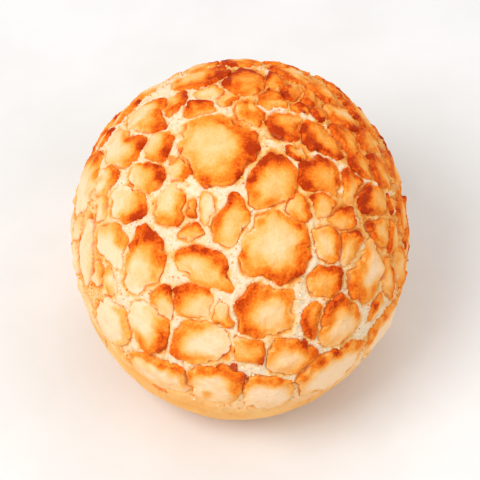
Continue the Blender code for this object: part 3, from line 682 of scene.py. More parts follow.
def fill(tree, shader_node, sockets):
    """Each of a node's sockets given a value or joined to an output."""
    for name, value in sockets.items():
        if isinstance(value, bpy.types.NodeSocket):
            tree.links.new(value, shader_node.inputs[name])
        else:
            shader_node.inputs[name].default_value = value


def node(tree, kind, sockets=None, **settings):
    """The outputs of a new shader node with these settings and sockets."""
    made = tree.nodes.new("ShaderNode" + kind)
    for name, value in settings.items():
        setattr(made, name, value)
    fill(tree, made, sockets or {})
    return made.outputs


def noise(tree, place, size, detail=3.0, roughness=0.55):
    """Cloudy noise whose blobs are about size metres across."""
    sockets = {"Vector": place, "Scale": 1 / size, "Detail": detail, "Roughness": roughness}
    return node(tree, "TexNoise", sockets)["Fac"]


def noise_about_0(tree, place, size, detail=3.0, roughness=0.55):
    """Cloudy noise less its mean of a half, so that it swings about 0."""
    return math_node(tree, "SUBTRACT", noise(tree, place, size, detail, roughness), 0.5)


def math_node(tree, operation, first, second=0.0, third=0.0):
    """A number worked out from up to three others."""
    return node(tree, "Math", {0: first, 1: second, 2: third}, operation=operation)[0]


def times(tree, first, second):
    """The product of two numbers."""
    return math_node(tree, "MULTIPLY", first, second)


def fade_between(tree, value, low, high):
    """0 where a value is low and 1 where it is high."""
    return node(tree, "MapRange", {"Value": value, "From Min": low, "From Max": high})[0]


def clouds(tree, place, size, detail, roughness, low, high):
    """Cloudy noise as 0 where it is low and 1 where it is high."""
    return fade_between(tree, noise(tree, place, size, detail, roughness), low, high)


def mix(tree, share, first, second):
    """Two colours mixed."""
    return node(tree, "Mix", {0: share, 6: first, 7: second}, data_type="RGBA")[2]


def ramp(tree, value, *stops):
    """A colour ramp through (position, colour) stops."""
    made = tree.nodes.new("ShaderNodeValToRGB")
    tree.links.new(value, made.inputs[0])
    elements = made.color_ramp.elements
    for _ in stops[2:]:
        elements.new(0.5)
    for element, (position, colour) in zip(elements, stops):
        element.position = position
        element.color = colour
    return made.outputs[0]


def mark(tree, name):
    """A point attribute as a number."""
    return node(tree, "Attribute", attribute_name=name)["Fac"]


def bump(tree, height, strength, distance):
    """A normal from a height of which 1 stands for the distance in metres."""
    return node(tree, "Bump", {"Height": height, "Strength": strength, "Distance": distance})[0]


def new_material(name):
    """A material with its node tree, its Principled shader and its place on the object."""
    material = bpy.data.materials.new(name)
    material.use_nodes = True
    tree = material.node_tree
    place = node(tree, "TexCoord")["Object"]
    return material, tree, tree.nodes["Principled BSDF"], place


CRUMB_COLOURS = shades(  # from fresh to toasted
    (0.00, 255, 232, 204),
    (0.22, 255, 222, 177),
    (0.42, 254, 202, 128),
    (0.64, 250, 170, 76),
    (1.00, 234, 116, 34),
)
SKIN_PALE = display(254, 199, 128)
SKIN_GOLD = display(249, 177, 92)
SKIN_STREAK = display(226, 146, 72)
SOLE_GOLD = display(226, 150, 78)
SOLE_BROWN = display(178, 98, 44)
# Noises: size, detail and roughness, and for some the values between which they set in.
CRUMB_CLOUD = (0.0013, 5, 0.62, 0.62, 0.34)
CRUMB_PATCH = (0.0042, 4, 0.6, 0.54, 0.72)
CRUMB_MOTTLE = (0.0009, 4, 0.6)
CRUMB_PORES = ((0.0007, 4, 0.7), (0.0018, 2))
SKIN_CLOUD = (0.016, 4)
SKIN_LINES = (0.0030, 3, 0.6, 0.56, 0.70)
SKIN_PATCH = (0.02, 1, 0.55, 0.45, 0.62)
SOLE_CLOUD = (0.006, 5)
SHARES_OF_CRUMB = (0.20, 0.26, 0.30, 0.85)  # of its cloud, patches, mottles and toast
LINE_SQUEEZE = 0.12  # of the upright lines' coordinates
LINE_STRENGTH = 0.55
SMOOTH_SKIN = (1.15, 0.0)  # skin marks at which the pores are gone and full
DOUGH_BUMP = (1.0, 0.0005)  # strength and metres


def crumb_colour(tree, place, toast):
    """Cream crumb, cloudy at 1 mm, with golden patches some millimetres wide.

    The sum of cloud, patches, mottles and toast, each by its share, along the crumb's colours.
    """
    cloud_share, patch_share, mottle_share, toast_share = SHARES_OF_CRUMB
    cloud = clouds(tree, place, *CRUMB_CLOUD)
    patch = clouds(tree, place, *CRUMB_PATCH)
    mottle = noise_about_0(tree, place, *CRUMB_MOTTLE)
    patches, toasted = times(tree, patch, patch_share), times(tree, toast, toast_share)
    fresh = math_node(tree, "MULTIPLY_ADD", cloud, cloud_share, patches)
    baked = math_node(tree, "MULTIPLY_ADD", mottle, mottle_share, toasted)
    return ramp(tree, math_node(tree, "ADD", fresh, baked), *CRUMB_COLOURS)


def skin_colour(tree, place):
    """The plain side: pale gold dough in slow clouds, with faint upright lines.

    The lines are noise on coordinates that are squeezed along the height.
    """
    cloud = noise(tree, place, *SKIN_CLOUD)
    gold = ramp(tree, cloud, (0.38, SKIN_GOLD), (0.62, SKIN_PALE))
    upright = node(tree, "Mapping", {"Vector": place, "Scale": (1.0, 1.0, LINE_SQUEEZE)})[0]
    lines = times(tree, clouds(tree, upright, *SKIN_LINES), clouds(tree, place, *SKIN_PATCH))
    streak = times(tree, lines, LINE_STRENGTH)
    return mix(tree, streak, gold, SKIN_STREAK)


def dough_material():
    """Baked wheat dough: crumb in the cracks, a smooth matte skin on the side, a browner sole."""
    material, tree, shader, place = new_material("wheat_dough")
    crumb = crumb_colour(tree, place, mark(tree, "toast"))
    colour = mix(tree, mark(tree, "skin"), crumb, skin_colour(tree, place))
    sole = ramp(tree, noise(tree, place, *SOLE_CLOUD), (0.35, SOLE_BROWN), (0.65, SOLE_GOLD))
    colour = mix(tree, mark(tree, "sole"), colour, sole)
    pores = math_node(tree, "ADD", *(noise(tree, place, *pore) for pore in CRUMB_PORES))
    crumbly = times(tree, pores, fade_between(tree, mark(tree, "skin"), *SMOOTH_SKIN))
    sockets = {
        "Base Color": colour,
        "Normal": bump(tree, crumbly, *DOUGH_BUMP),
        "Roughness": 0.80,
        "Specular IOR Level": 0.10,
        "Subsurface Weight": 0.10,
        "Subsurface Radius": (0.8, 0.8, 0.7),
        "Subsurface Scale": 0.0006,
    }
    fill(tree, shader, sockets)
    return material


dough = dough_material()
floor_bearing = around(FLOOR_COLUMNS)
floor_angle = np.radians(np.linspace(0, FLOOR_END, FLOOR_ROWS + 1)[1:])
floor_direction = direction_of(*np.meshgrid(floor_bearing, floor_angle))
floor_rings, floor_toast, floor_skin = floor_surface(floor_direction)
floor_crown = floor_surface(np.array([[0.0, 0.0, 1.0]]))[0][0]
floor_marks = {"toast": floor_toast, "skin": floor_skin, "sole": np.zeros(floor_skin.shape)}
# Rings tucked in at the lower edge make the piece a closed body, and carry its marks on.
tucked, floor_end = tuck(floor_rings[-1], TUCK_STEP)
floor_rings = np.concatenate((floor_rings, tucked))
rows_below = ((0, len(TUCK_SHARES)), (0, 0))
floor_marks = {name: np.pad(marks, rows_below, "edge") for name, marks in floor_marks.items()}
floor_body = closed_skin(floor_rings, floor_crown, floor_end, **floor_marks)
crack_floor = piece_from("crack_floor", [floor_body], dough)
crack_floor.data.set_sharp_from_angle(angle=math.radians(SHARP_ANGLE))
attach(crack_floor, "root")
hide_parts("tiger_roll")

# ------------------------------------------------
# Plain side and sole: below the crust the dough's own skin is bare, smooth and pale gold, and
# it rounds into the flat, browner sole that it baked on.
# ------------------------------------------------

SIDE_ROWS = 84
SOLE_SOFTNESS = 34  # higher gives the edge between side and sole a tighter round
SOLE_HEIGHTS = (0.0035, 0.0003)  # above the ground, between which the side turns into the sole
SOLE_RIPPLE = (0.006, 8, 0.00010)  # wavelength, seed and height
LEAST_FALL = 1e-3


def side_surface(direction):
    """The bowl below the widest level cut by the sole's plane.

    The lesser of the two radii, softened by a power mean, so that the edge is round.
    """
    bowl, toast, skin = floor_surface(direction)
    radius = np.linalg.norm(bowl, axis=-1)
    to_sole = BASE_DROP / np.maximum(-direction[..., 2], LEAST_FALL)
    soft = SOLE_SOFTNESS
    cut = (radius**-soft + to_sole**-soft) ** (-1 / soft)
    place = direction * cut[..., None]
    sole = ease(*SOLE_HEIGHTS, place[..., 2] + BASE_DROP)
    length, seed, rise = SOLE_RIPPLE
    place[..., 2] += rise * (1 + np.clip(grain(place, length, seed), -1, 1)) * sole
    return place, toast, skin, sole


side_angle = np.radians(np.linspace(FLOOR_END, 180, SIDE_ROWS + 1)[:-1])
side_rings, side_toast, side_skin, side_sole = side_surface(
    direction_of(*np.meshgrid(floor_bearing[::2], side_angle))
)
side_rings[0] = floor_rings[FLOOR_ROWS - 1, ::2]
side_marks = {"toast": side_toast, "skin": side_skin, "sole": side_sole}
tucked, side_end = tuck(side_rings[0], -TUCK_STEP)
side_rings = np.concatenate((tucked[::-1], side_rings))
rows_above = ((len(TUCK_SHARES), 0), (0, 0))
side_marks = {name: np.pad(marks, rows_above, "edge") for name, marks in side_marks.items()}
sole_middle = np.array((0.0, 0.0, -BASE_DROP + SOLE_RIPPLE[2]))
side_body = closed_skin(side_rings, side_end, sole_middle, **side_marks)
dough_side = piece_from("dough_side", [side_body], dough)
dough_side.data.set_sharp_from_angle(angle=math.radians(SHARP_ANGLE))
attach(dough_side, "root")
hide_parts("tiger_roll")

# ------------------------------------------------
# Crust plates: rice paste brushed on the dough, dried and torn into plates as the roll rose.
# Each is pale where it is thick in the middle and browns towards its thin, ragged, lifted rim.
# ------------------------------------------------

RIM_SPACING = 0.00024
RIM_POINTS = (72, 280)
RING_SPACING = 0.00052
RING_NUMBERS = (8, 22)
RING_CROWDING = 0.45  # how much the rings crowd together towards the rim
RIM_INSET = 0.00040  # the rounded edge takes this much of the outline
EDGE_STEPS = (0.00026, 0.00015, 0.00006, 0.00001)
EDGE_DROP = 0.00050
LEAST_RADIUS = 0.00002
# Wall under the rim: how far out, how high as a share of the plate's thickness, and how pale.
# The paleness is partly the torn paste's golden edge and partly painted light in the shade there.
WALL = ((0.0, 0.46, 0.2), (0.00004, 0.22, 0.5), (0.00012, 0.0, 0.8), (0.00014, -0.35, 1.0))
PLATE_FOOT = 0.97  # share of the way out to the dome at which a plate's hidden underside closes
TEETH = ((0.0026, 0.00055), (0.0013, 0.00055), (0.0006, 0.00026))  # length and depth of each size
TEETH_SEED = 1000
FEWEST_TEETH = 4
TEETH_FALL = 6  # power of a ring's share by which they fade inwards
CURL = (0.00022, 0.6, 0.4)  # height, and the shares of it on every side and on the browned side
CURL_BAND = (0.0007, 0.0006)  # how far inside the rim it is highest, and its half width
TILT = 0.00035
SURFACE_WAVES = ((0.0052, 0.00014), (0.0021, 0.00006), (0.0010, 0.00003))
LEAST_APART = 1e-5
MIDDLE_DEPTH = 0.56  # soft depth of a round plate's middle, as a share of its radius


def teeth(angles, radius, seed):
    """A ragged rim: for each size, noise around the plate with its peaks pointing outwards."""
    rng = np.random.default_rng(seed)
    ragged = np.zeros(len(angles))
    for length, depth in TEETH:
        count = max(FEWEST_TEETH, round(math.tau * radius / length))
        knots = rng.uniform(-1, 1, count)
        place = angles / math.tau * count
        left = np.floor(place).astype(int)
        share = place - left
        ragged += depth * (knots[left % count] * (1 - share) + knots[(left + 1) % count] * share)
    return ragged


def depth_inside(points, rim):
    """How far points lie inside a rim, both as complex numbers in the plate's plane.

    The root of 2 over the sum of rim length by distance cubed: plain distance near the rim,
    and without creases in the middle.
    """
    step = np.abs(np.roll(rim, -1) - rim)
    apart = np.maximum(np.abs(points[..., None] - rim), LEAST_APART)
    return np.sqrt(2 / (step / apart**3).sum(-1))


def plate_skin(index):
    """One plate as rings from its middle out to the rim, over the rounded edge and down the wall.

    A ring's radius is the outline's times a share, less a length; its height is the plate's
    thickness, doming, tilt, curl and surface waves.
    """
    plate = plate_at(index)
    mean = outline_table[index].mean()
    angles = around(int(np.clip(math.tau * mean / RIM_SPACING, *RIM_POINTS)))
    outline, ray = outline_radius(index, angles)
    ragged = teeth(angles, mean, TEETH_SEED + index)

    rings = int(np.clip(mean / RING_SPACING, *RING_NUMBERS))
    step = np.arange(1, rings + 1) / rings
    share = (1 - RING_CROWDING) * step + RING_CROWDING * np.sin(step * math.pi / 2)
    inset = RIM_INSET * share
    share = np.concatenate((share, np.ones(len(EDGE_STEPS) + len(WALL))))
    inset = np.concatenate((inset, EDGE_STEPS, [-out for out, _, _ in WALL]))
    rows = share[:, None]
    radius = outline * rows - inset[:, None] + ragged * rows**TEETH_FALL
    radius = np.maximum(radius, LEAST_RADIUS)
    flat = radius[..., None] * ray
    straight = dome(unit(plate.centre + flat))
    direction = unit(straight + wander(straight))

    turn = np.exp(1j * angles)
    deep = depth_inside(radius * turn, ((outline + ragged) * turn)[::2])
    deep[-len(WALL) :] = 0
    within = outline + ragged - radius  # distance from the rim, inwards
    edge = np.clip(within / RIM_INSET, 0, 1)
    rounding = np.sqrt(np.maximum(1 - (1 - edge) ** 2, 0)) - 1
    side = ray @ looks.browned_side[index]
    lean = (flat @ looks.browned_side[index]) / mean
    place = dome(direction)
    bulge = np.clip(deep / (MIDDLE_DEPTH * mean), 0, 1)
    height = PLATE_THICKNESS + PLATE_DOMING * (1 - (1 - bulge) ** 2) + EDGE_DROP * rounding
    curl = CURL[0] * (CURL[1] + CURL[2] * side)
    height = height + TILT * lean + curl * np.exp(-((within - CURL_BAND[0]) / CURL_BAND[1]) ** 2)
    for wavelength, rise in SURFACE_WAVES:
        height = height + rise * grain(place, wavelength, round(wavelength * 1e5) + index)
    wall = np.array([tall for _, tall, _ in WALL])[:, None]
    height[-len(WALL) :] = height[-len(WALL) - 1] * wall
    crust = crust_share(direction)
    points = place + dome_normal(direction) * (height * crust)[..., None]

    bake = plate_bake(index, mean, direction, deep, lean, ragged)
    # The walls are paler: partly the torn paste's gold, partly painted light in their shade.
    wall_paleness_and_light = np.zeros(bake.shape)
    wall_paleness_and_light[-len(WALL) :] = np.array([pale for _, _, pale in WALL])[:, None]
    skin = 1 - ease(THIN_SHARE, SKIN_SHARE, crust)
    middle = unit(plate.centre + wander(plate.centre))
    top_height = PLATE_THICKNESS + PLATE_DOMING
    top = dome(middle) + dome_normal(middle) * top_height * crust_share(middle)
    bottom = plate.centre * PLATE_FOOT
    return closed_skin(points, top, bottom, bake=bake, crumb=wall_paleness_and_light, skin=skin)


RIM_BROWN = (0.58, 0.30)  # how brown a rim is, and how much more so on the browned side
# As shares of the middle's depth: browned in full down to the first and not at all below the
# second, both deeper by the third on the browned side.
BROWN_WIDTH = (0.34, 1.02, 0.40)
BROWN_FALL = 1.3  # power of the fall between the two
SMALL_BROWN = (0.32, 0.036, 0.03)  # the middle of a tiny plate, how much less per mm, and least
BROWNING_IN_MIDDLE = 0.80  # share of a plate's own browning that its middle takes
BROWNING_AT_RIM = 0.80  # and its rim, of a plate that is browner than usual
PATCHY_RIM = (0.0060, 72, -0.5, 0.22)  # darker stretches: wavelength, seed, least and strength
PATCHY_ON_FRONT = 0.35  # of that strength
TIP_BROWN = (0.16, 0.0008)  # the ends of teeth are browner by the first, down to this depth
# The paler line at the rim is partly the paste's torn edge, partly painted light on the shaded rounded
# edge.
PALE_RIM_AND_LIGHT_LINE = (0.00045, -0.20)  # width and strength of a paler line along the rim
OVEN_BROWNING = 0.16
LOW_PALE = (84, 99, 0.72, 0.17)  # between these angles from the crown it browns less, to gold
SIDE_PALE = 0.70  # share of the browning that the pale side lacks
# Plates that face the pale side by the first two values, as cosines, pale by the third where
# they lie less than the fourth towards their browned side, in shares of their radius.
LOPSIDED = (0.15, 0.85, 1.1, 0.25)
LOW_NARROW = (76, 92, 0.45)  # low down the browned width is less by this share
BAKE_MOTTLES = ((0.007, 70, 0.03), (0.0028, 71, 0.02))  # wavelength, seed and strength
SKIN_SHARE = 0.75  # crust thinner than this share of the full one shows the skin under it


def plate_bake(index, mean, direction, deep, lean, ragged):
    """How brown a plate is: its middle's bake, and more by a power of the depth inside the rim.

    The rim's bake grows towards the browned side, in patches and on the ends of teeth, and
    scorched places come on top.  Low down and on the pale side all of it is less.
    """
    place = dome(direction)
    browning = looks.browning[index] + OVEN_BROWNING * (direction @ OVEN_SIDE)
    middle_bake = SMALL_BROWN[0] - SMALL_BROWN[1] * mean * 1000
    middle_bake = max(middle_bake, SMALL_BROWN[2]) + BROWNING_IN_MIDDLE * browning
    length, seed, least, strength = PATCHY_RIM
    patchy = np.maximum(grain(place, length, seed), least)
    strength = strength * (PATCHY_ON_FRONT if index < len(FRONT_PLATES) else 1.0)
    towards_pale = unit(plates.centre[index]) @ PALE_SIDE
    one_sided = LOPSIDED[2] * ease(*LOPSIDED[:2], towards_pale)
    lean = lean + one_sided * np.minimum(lean - LOPSIDED[3], 0)
    browner = np.minimum(browning, BROWNING_AT_RIM * browning)
    rim_bake = RIM_BROWN[0] + RIM_BROWN[1] * lean + browner + strength * patchy
    tips = np.clip(ragged / TEETH[0][1], -1, 1)
    rim_bake = rim_bake + TIP_BROWN[0] * tips * np.exp(-deep / TIP_BROWN[1])
    width = MIDDLE_DEPTH * mean * (1 + BROWN_WIDTH[2] * np.maximum(lean, -1))
    width = width * (1 - LOW_NARROW[2] * low_down(direction, *LOW_NARROW[:2]))
    browned = (BROWN_WIDTH[1] - deep / width) / (BROWN_WIDTH[1] - BROWN_WIDTH[0])
    browned = np.clip(browned, 0, 1) ** BROWN_FALL
    bake = middle_bake + (rim_bake - middle_bake) * browned
    # Paler right at the rim: partly painted light on the shaded rounded edge.
    bake = bake + PALE_RIM_AND_LIGHT_LINE[1] * np.exp(-deep / PALE_RIM_AND_LIGHT_LINE[0])
    low = low_down(direction, *LOW_PALE[:2])
    bake = bake * (1 - LOW_PALE[2] * low) + LOW_PALE[3] * low
    bake = bake * (1 - SIDE_PALE * pale_side(direction))
    for length, seed, strength in BAKE_MOTTLES:
        bake = bake + strength * grain(place, length, seed)
    return bake + np.maximum(scorch(place), 0)


BAKE_COLOURS = shades(
    (0.00, 255, 216, 174),
    (0.12, 255, 205, 150),
    (0.28, 254, 190, 117),
    (0.42, 253, 174, 84),
    (0.56, 251, 153, 54),
    (0.70, 246, 131, 34),
    (0.84, 235, 108, 22),
    (1.00, 212, 79, 12),
    (1.15, 180, 54, 9),
)
BAKE_FULL = BAKE_COLOURS[-1][0]
# Pale gold of the walls under the rims: partly the torn paste's edge, partly painted light.
WALL_GOLD_AND_LIGHT = display(255, 204, 138)
# Noises, as for the crumb.
CRUST_CLOUD = (0.0030, 4)
CRUST_SPECKLES = (0.0008, 4, 0.6)
CRUST_FRECKLES = (0.0005, 3, 0.6, 0.60, 0.72)
CRUST_PORES = (0.0003, 3, 0.6)
SHARES_OF_CRUST = (0.26, 0.80, 0.16)  # of its cloud, speckles and freckles
SPECKLED_AT_PALEST = 0.15
FRECKLED_BAKE = (0.30, 0.75)  # browning between which the freckles set in
PORE_SHARE = 0.5
CRUST_BUMP = (0.8, 0.0003)
BAKED_ROUGHNESS = {"From Min": 0.3, "From Max": 1.0, "To Min": 0.72, "To Max": 0.5}


def crust_material():
    """Dry rice-paste crust: the bake mark, roughened by noise, runs through the baked colours."""
    material, tree, shader, place = new_material("tiger_crust")
    cloud_share, speckle_share, freckle_share = SHARES_OF_CRUST
    cloud = noise_about_0(tree, place, *CRUST_CLOUD)
    fine = noise(tree, place, *CRUST_SPECKLES)
    baked = mark(tree, "bake")
    bake = math_node(tree, "MULTIPLY_ADD", cloud, cloud_share, baked)
    speckle = times(tree, math_node(tree, "SUBTRACT", fine, 0.5), speckle_share)
    speckled = math_node(tree, "ADD", baked, SPECKLED_AT_PALEST)
    bake = math_node(tree, "MULTIPLY_ADD", speckle, speckled, bake)
    freckle = clouds(tree, place, *CRUST_FRECKLES)
    freckled = times(tree, freckle, fade_between(tree, baked, *FRECKLED_BAKE))
    bake = math_node(tree, "MULTIPLY_ADD", freckled, freckle_share, bake)
    stops = [(position / BAKE_FULL, colour) for position, colour in BAKE_COLOURS]
    colour = ramp(tree, math_node(tree, "DIVIDE", bake, BAKE_FULL), *stops)
    # The walls under the rims mix towards pale gold, partly painted light in their shade.
    colour = mix(tree, mark(tree, "crumb"), colour, WALL_GOLD_AND_LIGHT)
    colour = mix(tree, mark(tree, "skin"), colour, skin_colour(tree, place))
    pores = math_node(tree, "MULTIPLY_ADD", noise(tree, place, *CRUST_PORES), PORE_SHARE, fine)
    sockets = {
        "Base Color": colour,
        "Normal": bump(tree, pores, *CRUST_BUMP),
        "Roughness": node(tree, "MapRange", {"Value": bake, **BAKED_ROUGHNESS})[0],
        "Specular IOR Level": 0.04,
        "Subsurface Weight": 0.15,
        "Subsurface Radius": (1.0, 0.5, 0.25),
        "Subsurface Scale": 0.0012,
    }
    fill(tree, shader, sockets)
    return material


crust = crust_material()
QUARTERS = ("front", "right", "back", "left")
plate_bearing = np.degrees(np.arctan2(plates.centre[:, 1], plates.centre[:, 0]))
plate_quarter = ((plate_bearing + 135) // 90).astype(int) % 4
for number, side_name in enumerate(QUARTERS):
    skins = [plate_skin(index) for index in np.flatnonzero(plate_quarter == number)]
    crust_piece = piece_from("crust_" + side_name, skins, crust)
    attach(crust_piece, "root")
    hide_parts("tiger_roll")

# ------------------------------------------------
# Crumbs: grains of torn dough and dry paste that cling in the open cracks.  They broke off as
# the cracks opened, and the oven dried them and toasted some.
# ------------------------------------------------

CRUMB_NUMBER = 2600
CRUMB_TRIES = 26000
CRUMB_SEED = 90
CRUMB_HALF = (0.00013, 0.00040)
CRUMB_CLEARANCE = 0.0002  # of a crumb's middle from the nearest rim
CRUMB_LIFT = 0.25  # of its middle above the floor, as a share of its half width
CRUMB_LIMIT = 97  # degrees from the crown
CRUMB_GROUND = 0.8  # least share of the crust's thickness where they lie
CRUMB_BENT = (0.75, 1.25)  # lengths of a crumb's corners, as shares
CRUMB_STRETCH = (0.7, 1.2)  # and of its three axes
CRUMB_TOASTED = (1.6, 0.7, 0.85)  # how rare toasted ones are, and what the ground's toast adds
CRUMB_CLOUDINESS = (0.0003, 0.3)  # size and strength
GOLDEN_RATIO = (1 + math.sqrt(5)) / 2
EDGE_LIMIT = 1.2  # corners nearer than this, on a ball of radius 1, share an edge
CRUMB_SHADES = shades(
    (0.0, 255, 236, 202),
    (0.4, 255, 214, 156),
    (0.7, 250, 178, 92),
    (1.0, 238, 132, 48),
)


def twenty_faces():
    """Corners and triangles of an icosahedron: the corners of three golden rectangles."""
    signs = [(a, b * GOLDEN_RATIO) for a in (-1, 1) for b in (-1, 1)]
    corners = unit(np.array([np.roll((0, *sign), turn) for turn in range(3) for sign in signs]))
    near = np.linalg.norm(corners[:, None] - corners, axis=-1) < EDGE_LIMIT
    triangles = []
    for a, b, c in itertools.combinations(range(len(corners)), 3):
        if near[a, b] and near[b, c] and near[a, c]:
            outward = np.cross(corners[b] - corners[a], corners[c] - corners[a]) @ corners[a] > 0
            triangles.append((a, b, c) if outward else (a, c, b))
    return corners, np.array(triangles)


def strewn(corners, triangles, places, halves, rng):
    """Copies of one small shape, each bent, stretched along its three axes and turned at random."""
    count = len(places)
    turn = np.linalg.qr(rng.normal(size=(count, 3, 3)))[0]
    turn = turn * np.sign(np.linalg.det(turn))[:, None, None]
    bent = corners * rng.uniform(*CRUMB_BENT, (count, len(corners), 1))
    stretched = bent * rng.uniform(*CRUMB_STRETCH, (count, 1, 3)) * halves[:, None, None]
    points = places[:, None] + np.einsum("nij,nkj->nki", turn, stretched)
    starts = len(corners) * np.arange(count)[:, None, None]
    return points.reshape(-1, 3), (triangles + starts).reshape(-1, 3)


def crumb_material():
    """Dry crumb: a shade for each grain between cream and toasted brown."""
    material, tree, shader, place = new_material("crumb_grains")
    size, strength = CRUMB_CLOUDINESS
    cloud = noise_about_0(tree, place, size)
    shade = math_node(tree, "MULTIPLY_ADD", cloud, strength, mark(tree, "shade"))
    sockets = {
        "Base Color": ramp(tree, shade, *CRUMB_SHADES),
        "Roughness": 0.85,
        "Specular IOR Level": 0.08,
        "Subsurface Weight": 0.2,
        "Subsurface Radius": (1.0, 0.5, 0.25),
        "Subsurface Scale": 0.0006,
    }
    fill(tree, shader, sockets)
    return material


crumb_rng = np.random.default_rng(CRUMB_SEED)
tried = direction_of(
    crumb_rng.uniform(-math.pi, math.pi, CRUMB_TRIES),
    np.arccos(crumb_rng.uniform(math.cos(math.radians(CRUMB_LIMIT)), 1, CRUMB_TRIES)),
)
in_a_crack = crack_distances(dome(tried))[0] > CRUMB_CLEARANCE
crumb_ways = tried[in_a_crack & (crust_share(tried) > CRUMB_GROUND)][:CRUMB_NUMBER]
crumb_halves = np.exp(crumb_rng.uniform(*np.log(CRUMB_HALF), len(crumb_ways)))
crumb_ground, ground_toast, _ = floor_surface(crumb_ways)
crumb_places = crumb_ground + dome_normal(crumb_ways) * (CRUMB_LIFT * crumb_halves)[:, None]
grain_shape = twenty_faces()
crumb_points, crumb_faces = strewn(*grain_shape, crumb_places, crumb_halves, crumb_rng)
rarity, shaded, added = CRUMB_TOASTED
crumb_shade = crumb_rng.uniform(0, 1, len(crumb_ways)) ** rarity
crumb_shade = crumb_shade * (1 - shaded * ground_toast) + added * ground_toast
no_quads = np.zeros((0, 4), int)
crumb_marks = {"shade": np.repeat(crumb_shade, len(grain_shape[0]))}
crumb_body = (crumb_points, no_quads, crumb_faces, crumb_marks)
crumbs = piece_from("crumbs", [crumb_body], crumb_material())
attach(crumbs, "root")

# ------------------------------------------------
# Scorched flakes: small curled chips of rice paste that broke off the rims of the plates and
# baked onto the crust, darker than what lies under them.
# ------------------------------------------------

# The ones that the front shows, in millimetres, degrees and shares: across, up, length, width,
# turn and how dark.
SEEN_FLAKES = (
    (-23.5, -44.0, 2.2, 3.2, 25, 0.20),
    (-1.7, -37.2, 2.2, 2.6, 0, 0.85),
    (0.9, -40.2, 2.6, 1.6, 0, 0.85),
    (10.9, 30.7, 2.4, 3.2, 10, 0.85),
    (-17.4, 26.3, 1.5, 1.4, 0, 0.35),
    (-19.8, 23.2, 2.4, 2.8, 20, 0.15),
    (-10.0, 15.6, 1.9, 1.5, 0, 0.55),
    (17.8, 38.3, 3.4, 1.7, -15, 0.75),
    (18.7, -29.8, 1.9, 1.6, 0, 0.80),
    (8.7, 50.2, 1.8, 1.0, 10, 0.60),
    (40.5, 26.3, 1.2, 1.8, 15, 0.55),
)
MORE_FLAKES = 34  # tried at random, and kept where the front doesn't show them
OUT_OF_SIGHT = 0.3  # greatest cosine to the line of sight of those
FLAKE_LIMIT = 92  # degrees from the crown
FLAKE_SEED = 51
FLAKE_HALF = (0.00045, 0.00115)
FLAKE_SLIMNESS = (0.5, 0.9)  # breadth over length
FLAKE_SHADE_RANGE = (0.0, 0.6)
FLAKE_SLANT = 0.3  # height of the random vector that a flake's length lies square to
FLAKE_POINTS = 28
# From the middle out: share of the outline, and height over the crust in metres.
FLAKE_RINGS = np.array([
    (0.35, 0.00026), (0.7, 0.00026), (0.92, 0.00024), (1.0, 0.00012), (1.0, -0.00006), (0.9, -0.0004)
])
FLAKE_RAGGED = 0.16
FLAKE_WAVES = (2, 3, 5, 9)
FLAKE_WAVE_RANGE = (0.3, 1)
FLAKE_CURL = 0.00016
FLAKE_CLOUD = (0.0007, 4, 0.6)
FLAKE_CLOUDINESS = 0.9
FLAKE_PORES = (0.0004, 4)
FLAKE_BUMP = (0.8, 0.0002)
PLATE_SHOULDER = 0.003  # from the rim, over which a plate rises to its full doming
CRACK_EDGE = (-0.0004, 0.0002)  # distances from the rim between which the plate ends
FLAKE_SHADES = shades(
    (0.0, 248, 156, 68),
    (0.4, 232, 114, 34),
    (0.7, 206, 80, 20),
    (1.0, 170, 54, 14),
)


def crust_height(way):
    """Height over the dome of what lies bare there: the floor in a crack, else the plate."""
    gap = crack_distances(dome(way)[None])[0][0]
    plate_height = PLATE_THICKNESS + PLATE_DOMING * ease(0, PLATE_SHOULDER, -gap)
    bare_height = plate_height + (CRUMB_SWELL - plate_height) * ease(*CRACK_EDGE, gap)
    return bare_height * crust_share(way)


def flake_skin(way, along, across, shade, rng):
    """A ragged oval chip: rings in the plane that touches the dome, with two edges curled up.

    along and across are half axes as vectors; the outline's radius is 1 plus four waves.
    """
    angles = around(FLAKE_POINTS)
    waves = sum(
        rng.uniform(*FLAKE_WAVE_RANGE) * np.sin(number * angles + rng.uniform(0, PHASE_LIMIT))
        for number in FLAKE_WAVES
    )
    outline = 1 + FLAKE_RAGGED * waves
    normal = dome_normal(way)
    share = FLAKE_RINGS[:, :1] * outline
    height = FLAKE_RINGS[:, 1:] + FLAKE_CURL * (share * np.cos(angles)) ** 2
    flat = share[..., None] * (np.cos(angles)[:, None] * along + np.sin(angles)[:, None] * across)
    base = dome(way) + normal * crust_height(way)
    points = base + flat + height[..., None] * normal
    top, bottom = (base + normal * FLAKE_RINGS[ring, 1] for ring in (0, -1))
    return closed_skin(points, top, bottom, shade=np.full(share.shape, shade))


def flake_material():
    """Scorched paste: dark reddish brown, cloudy, a little glossier than the crust."""
    material, tree, shader, place = new_material("scorched_flake")
    cloud = noise_about_0(tree, place, *FLAKE_CLOUD)
    shade = math_node(tree, "MULTIPLY_ADD", cloud, FLAKE_CLOUDINESS, mark(tree, "shade"))
    sockets = {
        "Base Color": ramp(tree, shade, *FLAKE_SHADES),
        "Normal": bump(tree, noise(tree, place, *FLAKE_PORES), *FLAKE_BUMP),
        "Roughness": 0.55,
        "Specular IOR Level": 0.2,
    }
    fill(tree, shader, sockets)
    return material


